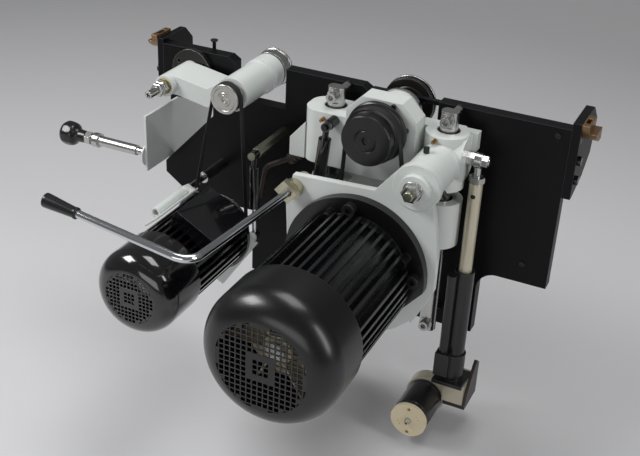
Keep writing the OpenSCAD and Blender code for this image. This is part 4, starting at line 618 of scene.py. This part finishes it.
# %% [markdown]
# ## Pivot of the scoring arm
# The arm turns on a ground pin. A brass ring takes its thrust, a large nut keeps it, a thinner nut locks that,
# and the drilled stub in front takes an oiler. A hexagon is a turned profile whose radius is scaled round the
# axis by the cosine of 30 degrees over the cosine of the angle from the middle of a flat.

# %% Pin, ring and nuts


def hexagon(angle, way):
    """Scale of the radius that turns a circle through a hexagon's corners into the hexagon."""
    flat = math.cos(math.pi / 6) / np.cos(np.mod(angle, math.pi / 3) - math.pi / 6)
    return flat * np.ones_like(way)


pivot = (66.0, 0.0, -38.0)
pin_profile = rounded([(0.02, -144.2), (3.7, -144.2), (3.7, -151.9), (6.2, -151.9), (6.9, -151.2), (6.9, -100.2),
                       (11.9, -99.8), (11.9, -0.2), (0.02, -0.2)], 0.4)
turned("pivot_pin", pivot, Y_AXIS, pin_profile, "frame", "ground_steel", ("scoring_pivot",), sides=72)
ring_profile = rounded([(7.0, -103.3), (13.6, -103.3), (14.4, -102.5), (14.4, -101.2), (13.6, -100.4),
                        (7.0, -100.4)], 0.5)
turned("pivot_ring", pivot, Y_AXIS, ring_profile, "frame", "brass", closed_rows=True)
for label, front, back, corner in (("pivot_nut", -115.0, -103.5, 13.8), ("pivot_locknut", -125.0, -116.2, 13.0)):
    nut_profile = rounded([(7.0, front), (corner * 0.87, front), (corner, front + 1.3), (corner, back - 1.3),
                           (corner * 0.87, back), (7.0, back)], 0.3, 2)
    turned(label, pivot, Y_AXIS, nut_profile, "frame", "ground_steel", flutes=hexagon, closed_rows=True)

# %% [markdown]
# ## Blade seats
# A saw blade is clamped between two turned flanges. They are relieved in the middle so that only their rims
# press on the blade, which keeps a thin disc flat; the rims are ground, and so they are the bright part. The dark
# gunmetal colour of the inner flange is painted shade on its face.

# %% Flanges of both saws
inner_profile = ring_of([(12.8, 21.1), (30.0, 21.1), (31.5, 22.6), (44.6, 22.6), (45.9, 23.9), (45.9, 30.9),
                         (38.0, 30.9), (37.0, 29.6), (12.8, 29.6)], 0.6)
# Dark gunmetal colour here: painted shade on the inner flange's face.
turned("blade_flange_inner", arbor_line, Y_AXIS, inner_profile, "arbor", "gunmetal", ("blade_flanges",), 128,
       closed_rows=True)
outer_profile = ring_of([(12.8, 36.8), (37.0, 36.8), (38.0, 35.5), (46.6, 35.5), (47.1, 36.2), (47.1, 39.6),
                         (45.4, 41.4), (30.0, 41.4), (27.0, 44.3), (12.8, 44.3)], 0.6)
turned("blade_flange_outer", arbor_line, Y_AXIS, outer_profile, "arbor", "ground_steel", sides=128,
       closed_rows=True)
blade_nut = ring_of([(12.8, 44.5), (20.6, 44.5), (20.6, 55.0), (18.4, 56.3), (12.8, 56.3)], 0.3)
turned("blade_nut", arbor_line, Y_AXIS, blade_nut, "arbor", "gunmetal", flutes=hexagon, closed_rows=True)
seat_profile = ring_of([(10.1, 36.1), (33.5, 36.1), (33.5, 57.0), (34.4, 58.0), (35.5, 58.4), (35.5, 61.3),
                        (34.8, 61.9), (30.0, 61.9), (29.2, 60.9), (10.1, 60.9)], 0.6)
turned("scoring_flange_turned", spindle_line, Y_AXIS, seat_profile, "scoring_arbor", "ground_steel",
       ("scoring_flange",), 128, closed_rows=True)

# %% [markdown]
# ## Lift motor
# The lift's direct-current motor is a drawn steel can with a rolled bead at each end, closed by a cream cap.
# The bead stiffens the can and holds the cap, so it is a small step in the turned profile.

# %% Can of the lift motor
CAP_X, CAN_BACK, CAP_FRONT, CAP_Z = 595.0, -136.0, -143.2, -556.0
can_profile = rounded([(0.02, 0.2), (32.6, 0.2), (33.7, 1.2), (33.7, 4.0), (33.0, 5.0), (33.0, 7.0), (33.7, 8.0),
                       (33.7, 70.0), (33.1, 71.0), (33.1, 73.0), (33.7, 74.0), (33.7, 78.6), (32.6, 79.8),
                       (0.02, 79.8)], 0.6)
# The can is polished metal; its dark colour is a painted reflection of the dark surroundings.
turned("lift_motor_can", (CAP_X, CAN_BACK, CAP_Z), Y_AXIS, can_profile, "frame", "dark_steel", ("lift_motor",))

# %% [markdown]
# ## Cowls of both motors
# Each cowl is spun from sheet: a drum, a wide round shoulder and a flat front. Its front is punched with square
# holes on a square pitch, apart from a plain square frame round the middle. The grille is worked out as a
# lattice of cells: a cell is a hole where both its column and its row are, and walls stand where metal and
# hole meet. Points outside the round edge are drawn in to it.

# %% Cowl shells and grilles
STRIP, RIM_SHARE, SAME_POINT = 99, 0.55, 1e-6


def grille(name, centre, front, thick, pitch, hole, edge_r, frame_ring, body, slot):
    """Punched round sheet in X and Z: faces in front and behind on the metal cells, walls round each hole. A
    line of cells is a row of holes with its number, or a plain strip."""
    n = int(edge_r // pitch) + 1
    k = np.arange(-n, n + 1) * pitch
    line = np.sort(np.concatenate([k - hole / 2, k + hole / 2]))
    line = np.concatenate([[-edge_r - pitch], line, [edge_r + pitch]])
    cell = np.arange(len(line) - 1)
    number = np.where(cell % 2 == 1, (cell - 1) // 2 - n, STRIP)
    mid = (line[:-1] + line[1:]) / 2
    far = np.hypot(mid[:, None], mid[None, :])
    both = (number[:, None] < STRIP) & (number[None, :] < STRIP)
    ring = np.maximum(abs(number[:, None]), abs(number[None, :]))
    holes = both & (ring != frame_ring) & (far < edge_r - RIM_SHARE * hole)
    metal = (far < edge_r) & ~holes
    gx, gz = np.meshgrid(line, line, indexing="ij")
    pull = np.minimum(1.0, edge_r / np.maximum(np.hypot(gx, gz), 1e-9))
    flat = np.stack([centre[0] + gx * pull, np.full_like(gx, front), centre[1] + gz * pull], -1).reshape(-1, 3)
    count, wide = len(flat), len(line)
    points = np.vstack([flat, flat + [0.0, thick, 0.0]])
    i, j = np.nonzero(metal)
    base = i * wide + j
    square = np.stack([base, base + wide, base + wide + 1, base + 1], -1)
    faces = [square, square[:, ::-1] + count]
    padded = np.pad(metal, 1)
    # Each side of a cell: the axis it faces along, the step to the neighbour there, and its first point
    for axis, step, first in ((0, -1, 0), (0, 1, wide), (1, -1, 0), (1, 1, 1)):
        beyond = np.roll(padded, -step, axis)[1:-1, 1:-1]
        i, j = np.nonzero(metal & ~beyond)
        a = i * wide + j + first
        b = a + (1 if axis == 0 else wide)
        faces.append(np.stack([a, b, b + count, a + count], -1))
    quads = np.vstack(faces)
    used, back = np.unique(quads, return_inverse=True)
    mesh = bpy.data.meshes.new(name)
    mesh.from_pydata(metres(points[used]).tolist(), [], back.reshape(quads.shape).tolist())
    bm = bmesh.new()
    bm.from_mesh(mesh)
    bmesh.ops.remove_doubles(bm, verts=bm.verts, dist=SAME_POINT)
    bmesh.ops.recalc_face_normals(bm, faces=bm.faces)
    bm.to_mesh(mesh)
    bm.free()
    obj = bpy.data.objects.new(name, mesh)
    bpy.context.scene.collection.objects.link(obj)
    mesh.materials.append(FINISH[slot])
    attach(obj, body)
    print(name, len(mesh.vertices), "points,", len(mesh.polygons), "faces")


def shell_profile(r, back, length, curve, open_r, sheet=2.0):
    """Closed profile of a cowl with a round opening in front: outside, shoulder, lip, then back inside."""
    front = back - length
    low = math.asin((open_r - (r - curve)) / curve)
    a = np.linspace(np.pi / 2, low, 22)
    out = np.stack([r - curve + curve * np.sin(a), front + curve - curve * np.cos(a)], -1)
    b = a[::-1]
    inn = np.stack([r - curve + (curve - sheet) * np.sin(b), front + curve - (curve - sheet) * np.cos(b)], -1)
    return np.vstack([[r, back - 0.1], out, inn, [r - sheet, back - 0.1]])


main_line, score_line = (MOTOR[0], 0.0, MOTOR[1]), (SCORER[0], 0.0, SCORER[1])
main_shell = shell_profile(r=112.0, back=-421.0, length=106.0, curve=46.0, open_r=74.0)
score_shell = shell_profile(r=75.5, back=-308.0, length=98.0, curve=33.0, open_r=46.0)
turned("motor_cowl_shell", main_line, Y_AXIS, main_shell, "motor_mount", "satin_black", ("motor_cowl",), 144,
       closed_rows=True)
grille("motor_cowl_grille", MOTOR, front=-526.3, thick=1.6, pitch=9.0, hole=7.0, edge_r=74.2, frame_ring=2,
       body="motor_mount", slot="satin_black")
turned("scoring_cowl_shell", score_line, Y_AXIS, score_shell, "scoring_motor", "gloss_black", ("scoring_cowl",), 128,
       closed_rows=True)
grille("scoring_cowl_grille", SCORER, front=-405.8, thick=1.6, pitch=7.0, hole=5.4, edge_r=46.2, frame_ring=2,
       body="scoring_motor", slot="gloss_black")

# %% [markdown]
# ## Swivel stud
# The motor plate hangs on one thick stud. A plated washer and nut hold it, and the stud's end shows as a dull
# olive disc in the nut.

# %% Stud, washer and nut
swivel = (583.6, 0.0, -68.5)
stud_profile = rounded([(0.02, -227.8), (7.0, -227.8), (7.8, -226.9), (7.8, -204.5), (11.9, -204.0), (11.9, -138.2),
                        (0.02, -138.2)], 0.4)
turned("swivel_stud_bar", swivel, Y_AXIS, stud_profile, "carriage", "olive_zinc", ("swivel_stud",), 72)
washer = ring_of([(7.9, -207.2), (16.0, -207.2), (16.9, -206.4), (16.9, -204.4), (7.9, -204.4)], 0.4)
turned("swivel_washer", swivel, Y_AXIS, washer, "carriage", "zinc", closed_rows=True)
big_nut = ring_of([(7.9, -219.2), (13.6, -219.2), (16.1, -217.6), (16.1, -208.9), (13.8, -207.4), (7.9, -207.4)],
                  0.4, 3)
turned("swivel_nut", swivel, Y_AXIS, big_nut, "carriage", "zinc", flutes=hexagon, closed_rows=True)

# %% Screws and shaft end on the lift motor's cap
screw = rounded([(0.02, -1.6), (2.2, -1.6), (3.0, -0.8), (3.0, 0.6), (0.02, 0.6)], 0.3)
for label, up in (("cap_screw_high", 25.0), ("cap_screw_low", -25.0)):
    turned(label, (CAP_X, CAP_FRONT, CAP_Z + up), Y_AXIS, screw, "frame", "brass", sides=32)
nose = rounded([(0.02, -9.8), (2.6, -9.8), (3.1, -9.2), (3.1, -4.2), (6.1, -3.9), (6.1, 0.5), (0.02, 0.5)], 0.3)
turned("cap_shaft_end", (CAP_X, CAP_FRONT, CAP_Z), Y_AXIS, nose, "frame", "ground_steel", sides=48)

# %% Push rod and the dark plug in its cross hole
ROD_X = 641.0
rod_profile = rounded([(0.02, -301.9), (10.9, -301.9), (11.4, -301.2), (11.4, -103.6), (10.0, -102.1),
                       (0.02, -102.1)], 0.5)
turned("push_rod", (ROD_X, -54.0, 0.0), (0, 0, 1), rod_profile, "carriage", "cream_coat", ("lift_rod",), 72)
plug = rounded([(0.02, -0.35), (3.9, -0.35), (4.3, 0.1), (4.3, 1.4), (0.02, 1.4)], 0.2)
turned("push_rod_plug", (ROD_X, -65.2, -125.1), Y_AXIS, plug, "carriage", "black_plastic", sides=48)

# %% Sizes and finish
low, high = (np.array(v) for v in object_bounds())
past_low, past_high = (low - cad_low) * MM_PER_M, (high - cad_high) * MM_PER_M
print("visual box minus CAD box in mm:", np.round(past_low, 2), np.round(past_high, 2))
